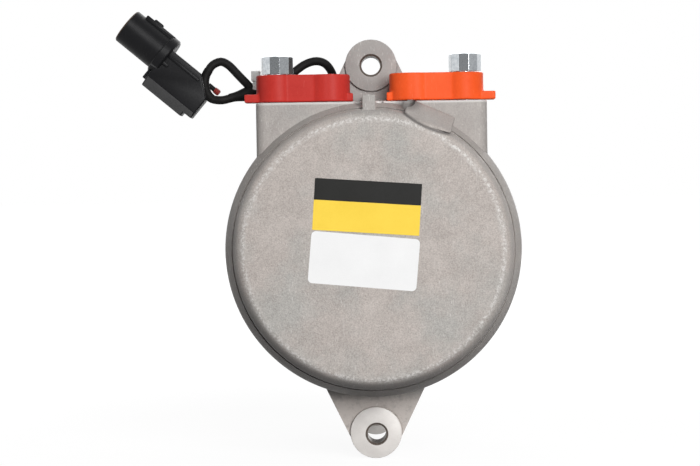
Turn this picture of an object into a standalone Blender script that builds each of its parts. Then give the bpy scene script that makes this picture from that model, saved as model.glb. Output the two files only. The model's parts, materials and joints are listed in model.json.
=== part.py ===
"""Belt-driven air-conditioning compressor of the scroll type, as separate pieces.

The shaft runs along Y. The plain rear face looks toward -Y and the belt clutch toward +Y.
The origin is on the shaft axis, halfway along the compressor. Lengths are in metres, and a
station is a distance from the rear face along the shaft.
"""
import math

import bmesh
import bpy

# Facets of large, middle, small and hidden rounds
ROUND = 30
MEDIUM = 22
FINE = 14
SMALL = 8

# Fits
CLEAR = 0.0003
OVERCUT = 0.002
LAP = 0.001

# Crank: each radius from the one inside it
PIN_RADIUS = 0.005
BUSH_WALL = 0.0047
DRIVE_BEARING_SECTION = 0.0037
BOSS_WALL = 0.0037
BUSH_RADIUS = PIN_RADIUS + CLEAR + BUSH_WALL
DRIVE_BEARING_RADIUS = BUSH_RADIUS + CLEAR + DRIVE_BEARING_SECTION
BOSS_RADIUS = DRIVE_BEARING_RADIUS + CLEAR + BOSS_WALL
SHAFT_RADIUS = 0.0122
NOSE_SHAFT_RADIUS = 0.008
SPLINE_RADIUS = 0.0065
THREAD_RADIUS = 0.004

# Main bearing and crankcase
MAIN_SECTION = 0.0132
MAIN_RACE = 0.0037
MAIN_BALLS = 8
CAGE_SHARE = 0.36
BEARING_SHOULDER = 0.0045
DISC_ROOM = 0.0065
COUNTERWEIGHT_ROOM = 0.0015
BEARING_BORE = SHAFT_RADIUS + MAIN_SECTION + 2 * CLEAR
CRANK_BORE = BEARING_BORE + BEARING_SHOULDER
DISC_RADIUS = CRANK_BORE - DISC_ROOM
COUNTERWEIGHT_RADIUS = CRANK_BORE - COUNTERWEIGHT_ROOM

# Scrolls and what guides them
SPIRAL_BASE = 0.0024
WRAP_THICKNESS = 0.004
FLANK_GAP = 0.00029
WRAP_START = 2.6
WRAP_MARGIN = 0.0008
WRAP_POINTS_PER_TURN = 24
ECCENTRIC = math.pi * SPIRAL_BASE - WRAP_THICKNESS - FLANK_GAP
GUIDES = 4
GUIDE_FIRST = math.pi / 4
GUIDE_INSET = 0.0035
GUIDE_PIN_RADIUS = 0.0018
GUIDE_PLAY = 0.00035
GUIDE_RING_WALL = 0.0012
GUIDE_EDGE = 0.0016
GUIDE_POCKET_DEPTH = 0.004
GUIDE_PIN_DEPTH = 0.0079
GUIDE_PIN_TIP = 0.001
RIM_GAP = 0.00145
RIM_WALL = 0.0028
THRUST_LIP = 0.002
GUIDE_CIRCLE = CRANK_BORE + GUIDE_INSET
GUIDE_RING_INNER = GUIDE_PIN_RADIUS + ECCENTRIC + GUIDE_PLAY
GUIDE_RING_OUTER = GUIDE_RING_INNER + GUIDE_RING_WALL
ORBIT_PLATE_RADIUS = GUIDE_CIRCLE + GUIDE_RING_OUTER + GUIDE_EDGE
FIXED_RIM = ORBIT_PLATE_RADIUS + ECCENTRIC + RIM_GAP
FIXED_RADIUS = FIXED_RIM + RIM_WALL
WRAP_REACH = ORBIT_PLATE_RADIUS - WRAP_MARGIN
WRAP_FINISH = (math.sqrt(WRAP_REACH**2 - SPIRAL_BASE**2) - WRAP_THICKNESS / 2) / SPIRAL_BASE

# Housings: radii
CHAMBER_RADIUS = FIXED_RADIUS + CLEAR
BODY_WALL = 0.010
BODY_RADIUS = CHAMBER_RADIUS + BODY_WALL
LEDGE_WIDTH = 0.009
DISCHARGE_RADIUS = CHAMBER_RADIUS - LEDGE_WIDTH
SPIGOT_RADIUS = CHAMBER_RADIUS - CLEAR
SEAL_GROOVE_DEPTH = 0.0020
SEAL_GROOVE_WIDTH = 0.0024
SEAL_GROOVE_SETBACK = 0.0012
NECK_ROOM = 0.0105
NECK_FILLET = 0.004
HEAD_RIM = 0.0125
HEAD_RADIUS = BEARING_BORE + HEAD_RIM

# Rounded edge of the rear face
FACE_EDGE_INSET = 0.010
FACE_EDGE_RADIUS = 0.0065
FACE_EDGE_END = 0.15
CREASE_INSET = 0.0035
CREASE_STATION = 0.0076
SHOULDER_INSET = 0.0012
SHOULDER_STATION = 0.0082
BODY_START = 0.0095

# Stations along the shaft, each from the one behind it
REAR_WALL = 0.008
DISCHARGE_DEPTH = 0.020
FIXED_PLATE = 0.008
WRAP_HEIGHT = 0.028
ORBIT_PLATE = 0.008
THRUST_PLATE = 0.0015
SPIGOT = 0.0049
FLANGE = 0.009
BOSS_LENGTH = 0.011
BUSH_SETBACK = 0.001
BUSH_STAND = 0.0007
COUNTERWEIGHT = 0.0057
DISC = 0.0075
DISC_GAP = 0.0005
MAIN_BEARING = 0.015
SHAFT_STEP = 0.0004
HEAD_STEP = 0.0034
HEAD_WALL = 0.0044
LEDGE = REAR_WALL + DISCHARGE_DEPTH
FIXED_PLATE_END = LEDGE + FIXED_PLATE
WRAP_END = FIXED_PLATE_END + WRAP_HEIGHT
ORBIT_PLATE_END = WRAP_END + ORBIT_PLATE
SPIGOT_START = ORBIT_PLATE_END + THRUST_PLATE + 2 * CLEAR
SPLIT = SPIGOT_START + SPIGOT
FLANGE_END = SPLIT + FLANGE
BOSS_END = ORBIT_PLATE_END + BOSS_LENGTH
BUSH_START = ORBIT_PLATE_END + BUSH_SETBACK
BUSH_END = BOSS_END + BUSH_STAND
COUNTERWEIGHT_START = BUSH_END + CLEAR
COUNTERWEIGHT_END = COUNTERWEIGHT_START + COUNTERWEIGHT
DISC_START = COUNTERWEIGHT_END + CLEAR
DISC_END = DISC_START + DISC
BEARING_SEAT = DISC_END + DISC_GAP
BEARING_SEAT_END = BEARING_SEAT + MAIN_BEARING + 2 * CLEAR
SHAFT_STEP_STATION = BEARING_SEAT_END + SHAFT_STEP
HEAD_FRONT = BEARING_SEAT_END + HEAD_WALL

# Nose of the front housing, its bearing, seal and snap rings
NOSE_SECTION = 0.0044
NOSE_WALL = 0.0051
NOSE_STEP = 0.0025
NOSE_STEP_LENGTH = 0.0026
NOSE_ROOT = 0.0026
NOSE_BEARING_SETBACK = 0.001
NOSE_BEARING = 0.012
SEAL_SETBACK = 0.003
SEAL_LENGTH = 0.008
SEAL_LIP_DEPTH = 0.004
SEAL_LIP_RADII = (0.0110, 0.0095)
SEAL_RING_INNER = 0.0100
SNAP_RING = 0.0012
SNAP_GROOVE_DEPTH = 0.0016
SNAP_STAND = 0.002
SNAP_GAP_ANGLE = 0.25
COIL_SNAP_WIDTH = 0.0057
NOSE_BORE = NOSE_SHAFT_RADIUS + NOSE_SECTION
NOSE_RADIUS = NOSE_BORE + NOSE_WALL
NOSE_STEP_RADIUS = NOSE_RADIUS + NOSE_STEP
NOSE_GROOVE_RADIUS = NOSE_RADIUS - SNAP_GROOVE_DEPTH
NOSE_STEP_END = HEAD_FRONT + NOSE_STEP_LENGTH

# Pulley, its bearing and the coil in it
PULLEY_WIDTH = 0.026
PULLEY_SETBACK = 0.003
PULLEY_RIM = 0.0055
PULLEY_WEB = 0.0052
PULLEY_HUB_WALL = 0.0033
PULLEY_HUB_SETBACK = 0.001
PULLEY_SECTION = 0.0101
PULLEY_RACE = 0.0025
PULLEY_BALLS = 9
PULLEY_BEARING_SETBACK = 0.006
PULLEY_BEARING = 0.0196
GROOVES = 5
GROOVE_PITCH = 0.00356
GROOVE_DEPTH = 0.0032
GROOVE_FLAT = 0.0004
COIL_GAP = 0.0008
COIL_SECTION = 0.0142
COIL_WALL = 0.0018
COIL_BACK = 0.003
COIL_PLATE_STEP = 0.001
COIL_LENGTH = 0.0225
COIL_FILL = 0.0006
FLUX_SLOTS = 6
FLUX_SLOT_WIDTH = 0.0024
FLUX_SLOT_ANGLE = 0.80
PULLEY_START = HEAD_FRONT + PULLEY_SETBACK
FRICTION_FACE = PULLEY_START + PULLEY_WIDTH
PULLEY_HUB_INNER = NOSE_RADIUS + PULLEY_SECTION + 2 * CLEAR
PULLEY_HUB_OUTER = PULLEY_HUB_INNER + PULLEY_HUB_WALL
COIL_INNER = PULLEY_HUB_OUTER + COIL_GAP
COIL_OUTER = COIL_INNER + COIL_SECTION
PULLEY_RIM_INNER = COIL_OUTER + COIL_GAP
PULLEY_RADIUS = PULLEY_RIM_INNER + PULLEY_RIM + GROOVE_DEPTH
PULLEY_BEARING_START = HEAD_FRONT + PULLEY_BEARING_SETBACK
PULLEY_BEARING_END = PULLEY_BEARING_START + PULLEY_BEARING
SNAP_GROOVE_START = PULLEY_BEARING_END + CLEAR
SNAP_GROOVE_END = SNAP_GROOVE_START + SNAP_RING + 2 * CLEAR
NOSE_LIP = 0.0018
NOSE_END = SNAP_GROOVE_END + NOSE_LIP

# Driven half of the clutch
AIR_GAP = 0.0005
ARMATURE_INNER = 0.030
ARMATURE_INSET = 0.0025
ARMATURE_THICKNESS = 0.0045
ARMATURE_SLOTS = 3
ARMATURE_SLOT_ANGLE = 0.64
LEAVES = 3
LEAF_LEAD = math.radians(40)
LEAF_THICKNESS = 0.001
LEAF_HALF_WIDTH = 0.0036
RIVET_RADIUS = 0.0018
RIVET_HEAD = 0.0012
RIVET_DEPTH = 0.003
HUB_ARM_CIRCLE = 0.026
HUB_ARM_END = 0.005
HUB_ARM_ANGLE = 0.24
HUB_WAIST = 0.0155
HUB_WAIST_ANGLES = (0.70, 1.40)
HUB_PLATE = 0.0034
HUB_BOSS_RADIUS = 0.0105
HUB_BOSS = 0.0149
SPLINE_SETBACK = 0.0015
SHIM = 0.001
SHIM_RADIUS = 0.0098
SPLINE_STAND = 0.0005
NUT_RADIUS = 0.0075
NUT = 0.0065
THREAD_STAND = 0.0012
ARMATURE_OUTER = PULLEY_RADIUS - ARMATURE_INSET
ARMATURE_CIRCLE = (ARMATURE_INNER + ARMATURE_OUTER) / 2
SPLINE_START = NOSE_END + SPLINE_SETBACK
SHIM_END = SPLINE_START + CLEAR + SHIM
HUB_BOSS_START = SHIM_END + CLEAR
HUB_BOSS_END = HUB_BOSS_START + HUB_BOSS
SPLINE_END = HUB_BOSS_END + SPLINE_STAND
NUT_START = SPLINE_END + CLEAR
NUT_END = NUT_START + NUT
LENGTH = NUT_END + THREAD_STAND

# Port block on the rear housing, and the swelling over its outlet passage
BLOCK_HALF_WIDTH = 0.0467
BLOCK_SETDOWN = 0.0004
BLOCK_START = 0.011
BLOCK_DEPTH = 0.025
BLOCK_CORNER = 0.004
BLOCK_TOP = BODY_RADIUS - BLOCK_SETDOWN
BLOCK_FOOT = math.sqrt(BODY_RADIUS**2 - BLOCK_HALF_WIDTH**2) - OVERCUT
SWELLING_RADIUS = 0.0095
SWELLING_X = 0.0240
SWELLING_STATION = 0.0150
SWELLING_DROP = 0.0040
SWELLING_HEIGHT = 0.0085
PORT_X = 0.0166
PORT_BOLT_PITCH = 0.0216
PORT_BOLT_X = PORT_X + PORT_BOLT_PITCH
SUCTION_STATION = 0.022
DISCHARGE_STATION = 0.020
SUCTION_BORE = 0.0066
SUCTION_PASSAGE = 0.0042
SUCTION_PASSAGE_LENGTH = 0.026
SUCTION_WINDOW_HALF = 0.0085
SUCTION_WINDOW_DEPTH = 0.017
SUCTION_WINDOW_SETBACK = 0.010
DISCHARGE_BORE = 0.0060
DISCHARGE_BORE_DEPTH = 0.011
DISCHARGE_HOLE = 0.0032

# Mounting lugs
UPPER_LUG_RISE = 0.0150
LOWER_LUG_RISE = 0.0164
LUG_RADIUS = 0.0102
LUG_HOLE_RADIUS = 0.0042
LUG_HALF_ANGLE = math.radians(26)
LUG_DEPTH = 0.016
LUG_STEP = 0.0015
LUG_WEB_INSET = 0.0005
REAR_LUG_STATION = 0.031
FRONT_LUG_SETBACK = 0.018
LUG_RIB_LEFT = -0.0037
LUG_RIB_RIGHT = 0.0017
LUG_RIB_START = 0.008
LUG_RIB_STAND = 0.002
UPPER_LUG_Z = BODY_RADIUS + UPPER_LUG_RISE
LOWER_LUG_Z = -BODY_RADIUS - LOWER_LUG_RISE
FRONT_LUG_STATION = HEAD_FRONT - FRONT_LUG_SETBACK
FRONT_LUG_SINK = 0.0045
FRONT_LUG_FOOT = HEAD_RADIUS - FRONT_LUG_SINK

# Port caps and their bolts
CAP_HEIGHT = 0.0107
CAP_LOBE_RADIUS = 0.0083
CAP_HALF_WAIST = 0.0062
CAP_WAIST_DROP = 0.0006
CAP_TAB_REACH = 0.0047
CAP_TAB_INNER = 0.0012
CAP_TAB_HALF_DEPTH = 0.0045
CAP_TAB_HEIGHT = 0.0032
CAP_PLUG_DEPTH = 0.006
CAP_PLUG_WALL = 0.0005
CAP_BOLT_RADIUS = 0.0039
CAP_BOLT_HEAD_RADIUS = 0.0076
CAP_BOLT_HEAD = 0.0077
CAP_BOLT_LENGTH = 0.0222
CAP_BOTTOM = BLOCK_TOP + CLEAR
CAP_TOP = CAP_BOTTOM + CAP_HEIGHT

# Bolts between the housings
HOUSING_BOLTS = 6
HOUSING_BOLT_RADIUS = 0.0025
HOUSING_BOLT_HEAD_RADIUS = 0.0046
HOUSING_BOLT_HEAD = 0.005
HOUSING_BOLT_DEPTH = 0.020
HOUSING_BOLT_CIRCLE = CHAMBER_RADIUS + BODY_WALL / 2

# Discharge valve
REED_PITCH = 0.022
REED_TIP_RADIUS = 0.0050
REED_CLAMP_RADIUS = 0.0045
REED_THICKNESS = 0.0006
REED_SCREW_RADIUS = 0.0015
REED_SCREW_HEAD_RADIUS = 0.0034
REED_SCREW_HEAD = 0.0025
REED_SCREW_DEPTH = 0.004
STOP_LIFT = 0.0026
STOP_DEPTH = 0.0020
STOP_BEND = 0.0140
STOP_WIDTH = 0.009

# Lead, connector and tie
LEAD_RADIUS = 0.0016
LEAD_STEP = 6 * LEAD_RADIUS
GLAND_X = -0.0165
GLAND_INSET = 0.0035
GLAND_Z = COIL_OUTER - GLAND_INSET
GLAND_SIZE = (0.0100, 0.0060, 0.0052)
LEAD_SPREAD = 0.0042
CONNECTOR_MOUTH = (-0.1020, 0.0944)
CONNECTOR_STATION = 0.0345
CONNECTOR_TILT = math.radians(40.05)
BARREL_LENGTH = 0.0202
BARREL_RADIUS = 0.0076
BARREL_BORE = 0.0061
BARREL_FLOOR = 0.003
COLLAR_STAND = 0.0012
COLLAR_WIDTH = 0.0022
LOCK_RIB = (0.0145, 0.0042, 0.003)
LOCK_RIB_MIDDLE = 0.0115
LOCK_RIB_STAND = 0.0021
PLUG_BLOCK = (0.0248, 0.013, 0.0190)
PLUG_BLOCK_DROP = 0.0055
PLUG_NOTCH = (0.004, 0.002)
PIN = (0.0115, 0.0008, 0.0026)
PIN_PITCH = 0.0052
LEAD_SETBACK = 0.004
LEAD_STUB = 0.0034
LEAD_EXIT_RISE = 0.0042
TIE_X = -0.0477
TIE_STATION = 0.0388
TIE_LOW = 0.0628
TIE_HIGH = 0.0668
TIE_WIDTH = 0.0026
TIE_ROOM = 0.0006
TIE_WALL = 0.0010
TIE_HEAD = (0.0038, 0.0044, 0.0043)

FINISHES = {
    "cast": ((0.48, 0.45, 0.42), 0.55, 0.7),
    "machined": ((0.62, 0.60, 0.58), 0.3, 0.9),
    "steel": ((0.40, 0.40, 0.42), 0.35, 1.0),
    "zinc": ((0.55, 0.56, 0.55), 0.25, 1.0),
    "black": ((0.017, 0.017, 0.018), 0.5, 0.0),
    "rubber": ((0.02, 0.02, 0.02), 0.8, 0.0),
    "red": ((0.55, 0.05, 0.036), 0.45, 0.0),
    "orange": ((0.85, 0.11, 0.03), 0.45, 0.0),
    "white": ((0.8, 0.8, 0.76), 0.5, 0.0),
    "copper": ((0.55, 0.22, 0.10), 0.4, 1.0),
    "painted": ((0.03, 0.03, 0.033), 0.45, 0.3),
}


def clear_scene():
    for obj in list(bpy.data.objects):
        bpy.data.objects.remove(obj)


def new_collection(name):
    collection = bpy.data.collections.new(name)
    bpy.context.scene.collection.children.link(collection)
    return collection


clear_scene()
PARTS = new_collection("scroll_compressor")
CUTTERS = new_collection("cutters")


def along(station):
    """World Y of a station."""
    return station - LENGTH / 2


def arc(radius, start, end, steps, centre=(0.0, 0.0)):
    """Points on an arc, angles in radians, both ends included."""
    points = []
    for i in range(steps + 1):
        angle = start + (end - start) * i / steps
        x = centre[0] + radius * math.cos(angle)
        points.append((x, centre[1] + radius * math.sin(angle)))
    return points


def finish(obj, kind):
    """Make the object a named part with a material of its own."""
    colour, roughness, metallic = FINISHES[kind]
    material = bpy.data.materials.new(obj.name + "_finish")
    material.use_nodes = True
    shader = material.node_tree.nodes["Principled BSDF"]
    shader.inputs["Base Color"].default_value = (*colour, 1.0)
    shader.inputs["Roughness"].default_value = roughness
    shader.inputs["Metallic"].default_value = metallic
    obj.data.materials.append(material)
    return obj


def place(name, data, location, rotation=(0.0, 0.0, 0.0)):
    obj = bpy.data.objects.new(name, data)
    PARTS.objects.link(obj)
    obj.location = location
    obj.rotation_euler = rotation
    return obj


def boolean(target, tool, operation):
    modifier = target.modifiers.new(operation.title(), "BOOLEAN")
    modifier.operation = operation
    modifier.solver = "EXACT"
    modifier.object = tool
    PARTS.objects.unlink(tool)
    CUTTERS.objects.link(tool)
    tool.hide_render = True
    tool.display_type = "WIRE"


def cut(target, *tools):
    for tool in tools:
        boolean(target, tool, "DIFFERENCE")


def join(target, *tools):
    for tool in tools:
        boolean(target, tool, "UNION")


def turned(name, profile, steps, centre=(0.0, 0.0)):
    """Turn (radius, station) points about the shaft, or about an axis along Y at centre (x, z).

    A profile runs down its outer side, front to rear, and closes on itself unless it meets the axis.
    """
    mesh = bpy.data.meshes.new(name)
    points = [(radius, 0.0, station) for radius, station in profile]
    edges = [(i, i + 1) for i in range(len(points) - 1)]
    if min(radius for radius, station in profile) > 0:
        edges.append((len(points) - 1, 0))
    mesh.from_pydata(points, edges, [])
    obj = place(name, mesh, (centre[0], along(0), centre[1]), (-math.pi / 2, 0, 0))
    screw = obj.modifiers.new("Turn", "SCREW")
    screw.axis = "Z"
    screw.steps = steps
    screw.render_steps = steps
    screw.use_merge_vertices = True
    screw.merge_threshold = 0.00001
    return obj


def ring(name, inner, outer, start, end, steps, centre=(0.0, 0.0)):
    return turned(name, [(outer, end), (outer, start), (inner, start), (inner, end)], steps, centre)


def cylinder(name, radius, length, location, rotation=(0.0, 0.0, 0.0), sides=FINE):
    """A cylinder along local Z, centred on its location."""
    mesh = bpy.data.meshes.new(name)
    shape = bmesh.new()
    bmesh.ops.create_cone(shape, cap_ends=True, segments=sides, radius1=radius, radius2=radius, depth=length)
    shape.to_mesh(mesh)
    shape.free()
    return place(name, mesh, location, rotation)


def rod(name, radius, start, end, centre=(0.0, 0.0), sides=FINE):
    """A cylinder along the shaft direction between two stations."""
    location = (centre[0], along((start + end) / 2), centre[1])
    return cylinder(name, radius, end - start, location, (math.pi / 2, 0, 0), sides)


def hole(name, radius, start, end, centre=(0.0, 0.0), sides=FINE):
    """Cutter along the shaft direction that runs past both stations."""
    return rod(name, radius, start - OVERCUT, end + OVERCUT, centre, sides)


def post(name, radius, bottom, top, x, station, sides=FINE):
    """An upright cylinder between two heights."""
    return cylinder(name, radius, top - bottom, (x, along(station), (bottom + top) / 2), sides=sides)


def cube(name, size, location, rotation=(0.0, 0.0, 0.0)):
    mesh = bpy.data.meshes.new(name)
    shape = bmesh.new()
    bmesh.ops.create_cube(shape, size=1.0)
    bmesh.ops.scale(shape, vec=size, verts=shape.verts)
    shape.to_mesh(mesh)
    shape.free()
    return place(name, mesh, location, rotation)


def box(name, low, high):
    """A box between two corners given as (x, station, z)."""
    size = [abs(b - a) for a, b in zip(low, high)]
    middle = [(a + b) / 2 for a, b in zip(low, high)]
    return cube(name, size, (middle[0], along(middle[1]), middle[2]))


def solid_from_curve(curve_object):
    """Replace a curve object by the mesh it shows, with its caps welded."""
    name = curve_object.name
    graph = bpy.context.evaluated_depsgraph_get()
    mesh = bpy.data.meshes.new_from_object(curve_object.evaluated_get(graph))
    shape = bmesh.new()
    shape.from_mesh(mesh)
    bmesh.ops.remove_doubles(shape, verts=shape.verts, dist=0.000001)
    bmesh.ops.recalc_face_normals(shape, faces=shape.faces)
    shape.to_mesh(mesh)
    shape.free()
    location = curve_object.location.copy()
    rotation = curve_object.rotation_euler.copy()
    bpy.data.objects.remove(curve_object)
    return place(name, mesh, location, rotation)


def flat(name, outline, thickness, location, rotation):
    """A flat piece: a closed outline in local X and Y, as thick as given along local Z."""
    curve = bpy.data.curves.new(name, "CURVE")
    curve.dimensions = "2D"
    curve.fill_mode = "BOTH"
    curve.extrude = thickness / 2
    spline = curve.splines.new("POLY")
    spline.points.add(len(outline) - 1)
    for point, (x, y) in zip(spline.points, outline):
        point.co = (x, y, 0.0, 1.0)
    spline.use_cyclic_u = True
    return solid_from_curve(place(name, curve, location, rotation))


def upright_flat(name, outline, start, end, centre=(0.0, 0.0)):
    """A flat piece square to the shaft, its outline in X and Z, between two stations."""
    location = (centre[0], along((start + end) / 2), centre[1])
    return flat(name, outline, end - start, location, (math.pi / 2, 0, 0))


def around(circle, count, index, first=0.0):
    """Centre (x, z) of one of several places spread round the shaft."""
    angle = first + 2 * math.pi * index / count
    return circle * math.cos(angle), circle * math.sin(angle)


def lug_outline(height, foot):
    """Web behind a lug boss: tangent to the boss and widening toward the body."""
    half = LUG_HALF_ANGLE
    radius = LUG_RADIUS - LUG_WEB_INSET
    top = arc(radius, half, math.pi - half, 8, (0.0, abs(height)))
    reach = abs(height) + radius * math.sin(half) - foot
    spread = radius * math.cos(half) + reach * math.tan(half)
    outline = [(spread, foot)] + top + [(-spread, foot)]
    side = math.copysign(1.0, height)
    return [(x, side * z) for x, z in outline]


def add_lug(housing, name, height, start, foot):
    """Cast a boss with its web onto a housing, and return the cutter of its bolt hole."""
    end = start + LUG_DEPTH
    centre = (0.0, height)
    join(housing, upright_flat(name + "_web", lug_outline(height, foot), start + LUG_STEP, end - LUG_STEP))
    join(housing, rod(name + "_boss", LUG_RADIUS, start, end, centre))
    return hole(name + "_bore", LUG_HOLE_RADIUS, start, end, centre)


def port_block():
    """Block that both ports stand on, with its rear upright corners rounded."""
    middle = (BLOCK_CORNER - BLOCK_HALF_WIDTH, BLOCK_CORNER)
    corner = arc(BLOCK_CORNER, math.pi, 1.5 * math.pi, 4, middle)
    mirrored = [(-x, y) for x, y in reversed(corner)]
    plan = corner + mirrored + [(BLOCK_HALF_WIDTH, BLOCK_DEPTH), (-BLOCK_HALF_WIDTH, BLOCK_DEPTH)]
    location = (0.0, along(BLOCK_START), (BLOCK_TOP + BLOCK_FOOT) / 2)
    return flat("port_block", plan, BLOCK_TOP - BLOCK_FOOT, location, (0, 0, 0))


def rear_housing():
    edge_centre = (BODY_RADIUS - FACE_EDGE_INSET, 0.0)
    edge = arc(FACE_EDGE_RADIUS, FACE_EDGE_END, math.pi / 2, 4, edge_centre)
    profile = [(0.0, SPLIT), (BODY_RADIUS, SPLIT), (BODY_RADIUS, BODY_START)]
    profile += [(BODY_RADIUS - SHOULDER_INSET, SHOULDER_STATION), (BODY_RADIUS - CREASE_INSET, CREASE_STATION)]
    profile += [(radius, FACE_EDGE_RADIUS - rise) for radius, rise in edge]
    housing = turned("rear_housing", profile + [(0.0, 0.0)], ROUND)
    join(housing, port_block())
    rib_end = (LUG_RIB_RIGHT, REAR_LUG_STATION + LUG_STEP + LAP, BODY_RADIUS + LUG_RIB_STAND)
    join(housing, box("lug_rib", (LUG_RIB_LEFT, LUG_RIB_START, CHAMBER_RADIUS), rib_end))
    bores = [add_lug(housing, "rear_upper_lug", UPPER_LUG_Z, REAR_LUG_STATION, CHAMBER_RADIUS)]
    bores.append(add_lug(housing, "rear_lower_lug", LOWER_LUG_Z, REAR_LUG_STATION, CHAMBER_RADIUS))
    top = BODY_RADIUS - SWELLING_DROP
    bottom = top - SWELLING_HEIGHT
    join(housing, post("passage_swelling", SWELLING_RADIUS, bottom, top, SWELLING_X, SWELLING_STATION))

    end = SPLIT + OVERCUT
    chamber = [(0.0, end), (CHAMBER_RADIUS, end), (CHAMBER_RADIUS, LEDGE), (DISCHARGE_RADIUS, LEDGE)]
    chamber += [(DISCHARGE_RADIUS, REAR_WALL), (0.0, REAR_WALL)]
    cut(housing, turned("chamber", chamber, ROUND), *bores)
    top = BLOCK_TOP + OVERCUT
    cut(housing, post("suction_bore", SUCTION_BORE, CHAMBER_RADIUS - OVERCUT, top, -PORT_X, SUCTION_STATION))
    passage = (-PORT_X, CHAMBER_RADIUS)
    passage_end = SUCTION_STATION + SUCTION_PASSAGE_LENGTH
    cut(housing, rod("suction_passage", SUCTION_PASSAGE, SUCTION_STATION, passage_end, passage, SMALL))
    bottom = DISCHARGE_RADIUS - DISCHARGE_BORE_DEPTH
    cut(housing, post("discharge_bore", DISCHARGE_BORE, bottom, top, PORT_X, DISCHARGE_STATION))
    bottom = CAP_TOP + CLEAR - CAP_BOLT_LENGTH - CAP_HEIGHT - OVERCUT
    for side, station in ((-1, SUCTION_STATION), (1, DISCHARGE_STATION)):
        x = side * PORT_BOLT_X
        cut(housing, post("cap_thread", CAP_BOLT_RADIUS + CLEAR, bottom, top, x, station, SMALL))
    for i in range(HOUSING_BOLTS):
        centre = around(HOUSING_BOLT_CIRCLE, HOUSING_BOLTS, i)
        start = SPLIT - HOUSING_BOLT_DEPTH - LAP
        cut(housing, rod("housing_thread", HOUSING_BOLT_RADIUS + CLEAR, start, end, centre, SMALL))
    return finish(housing, "cast")


def front_housing():
    groove_end = SPLIT - SEAL_GROOVE_SETBACK
    groove_start = groove_end - SEAL_GROOVE_WIDTH
    groove = SPIGOT_RADIUS - SEAL_GROOVE_DEPTH
    neck = HOUSING_BOLT_CIRCLE - NECK_ROOM
    fillet = arc(NECK_FILLET, math.pi, 1.5 * math.pi, 3, (neck + NECK_FILLET, FLANGE_END + NECK_FILLET))
    outer = [(0.0, NOSE_END), (NOSE_RADIUS, NOSE_END), (NOSE_RADIUS, SNAP_GROOVE_END)]
    outer += [(NOSE_GROOVE_RADIUS, SNAP_GROOVE_END), (NOSE_GROOVE_RADIUS, SNAP_GROOVE_START)]
    outer += [(NOSE_RADIUS, SNAP_GROOVE_START), (NOSE_RADIUS, NOSE_STEP_END), (NOSE_STEP_RADIUS, NOSE_STEP_END)]
    outer += [(NOSE_STEP_RADIUS, HEAD_FRONT), (HEAD_RADIUS, HEAD_FRONT)] + fillet
    outer += [(BODY_RADIUS, FLANGE_END), (BODY_RADIUS, SPLIT + CLEAR), (SPIGOT_RADIUS, SPLIT + CLEAR)]
    outer += [(SPIGOT_RADIUS, groove_end), (groove, groove_end), (groove, groove_start)]
    outer += [(SPIGOT_RADIUS, groove_start), (SPIGOT_RADIUS, SPIGOT_START), (0.0, SPIGOT_START)]
    housing = turned("front_housing", outer, ROUND)
    bore = add_lug(housing, "front_lug", LOWER_LUG_Z, FRONT_LUG_STATION, FRONT_LUG_FOOT)

    start = SPIGOT_START - OVERCUT
    end = NOSE_END + OVERCUT
    throat = SHAFT_RADIUS + NOSE_ROOT
    step = BEARING_SEAT_END + HEAD_STEP
    inner = [(0.0, end), (NOSE_BORE, end), (NOSE_BORE, step), (throat, step), (throat, BEARING_SEAT_END)]
    inner += [(BEARING_BORE, BEARING_SEAT_END), (BEARING_BORE, BEARING_SEAT), (CRANK_BORE, BEARING_SEAT)]
    cut(housing, turned("crankcase", inner + [(CRANK_BORE, start), (0.0, start)], MEDIUM), bore)
    for i in range(HOUSING_BOLTS):
        centre = around(HOUSING_BOLT_CIRCLE, HOUSING_BOLTS, i)
        cut(housing, hole("flange_hole", HOUSING_BOLT_RADIUS + CLEAR, SPLIT, FLANGE_END, centre, SMALL))
    for i in range(GUIDES):
        centre = around(GUIDE_CIRCLE, GUIDES, i, GUIDE_FIRST)
        bottom = SPIGOT_START + GUIDE_PIN_DEPTH + CLEAR
        cut(housing, rod("guide_hole", GUIDE_PIN_RADIUS + CLEAR, start, bottom, centre, SMALL))
    return finish(housing, "cast")


def housing_fasteners():
    groove = SPIGOT_RADIUS - SEAL_GROOVE_DEPTH
    thickness = (CHAMBER_RADIUS - groove) / 2 - CLEAR
    middle = ((CHAMBER_RADIUS + groove) / 2, SPLIT - SEAL_GROOVE_SETBACK - SEAL_GROOVE_WIDTH / 2)
    section = arc(thickness, math.pi / 2, -1.5 * math.pi, 5, middle)[:-1]
    finish(turned("housing_seal", section, ROUND), "rubber")
    head = FLANGE_END + CLEAR
    for i in range(HOUSING_BOLTS):
        centre = around(HOUSING_BOLT_CIRCLE, HOUSING_BOLTS, i)
        name = f"housing_bolt_{i + 1}"
        bolt = rod(name, HOUSING_BOLT_HEAD_RADIUS, head, head + HOUSING_BOLT_HEAD, centre, 6)
        start = SPLIT - HOUSING_BOLT_DEPTH
        join(bolt, rod(name + "_shank", HOUSING_BOLT_RADIUS, start, head + LAP, centre, SMALL))
        finish(bolt, "zinc")


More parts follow.
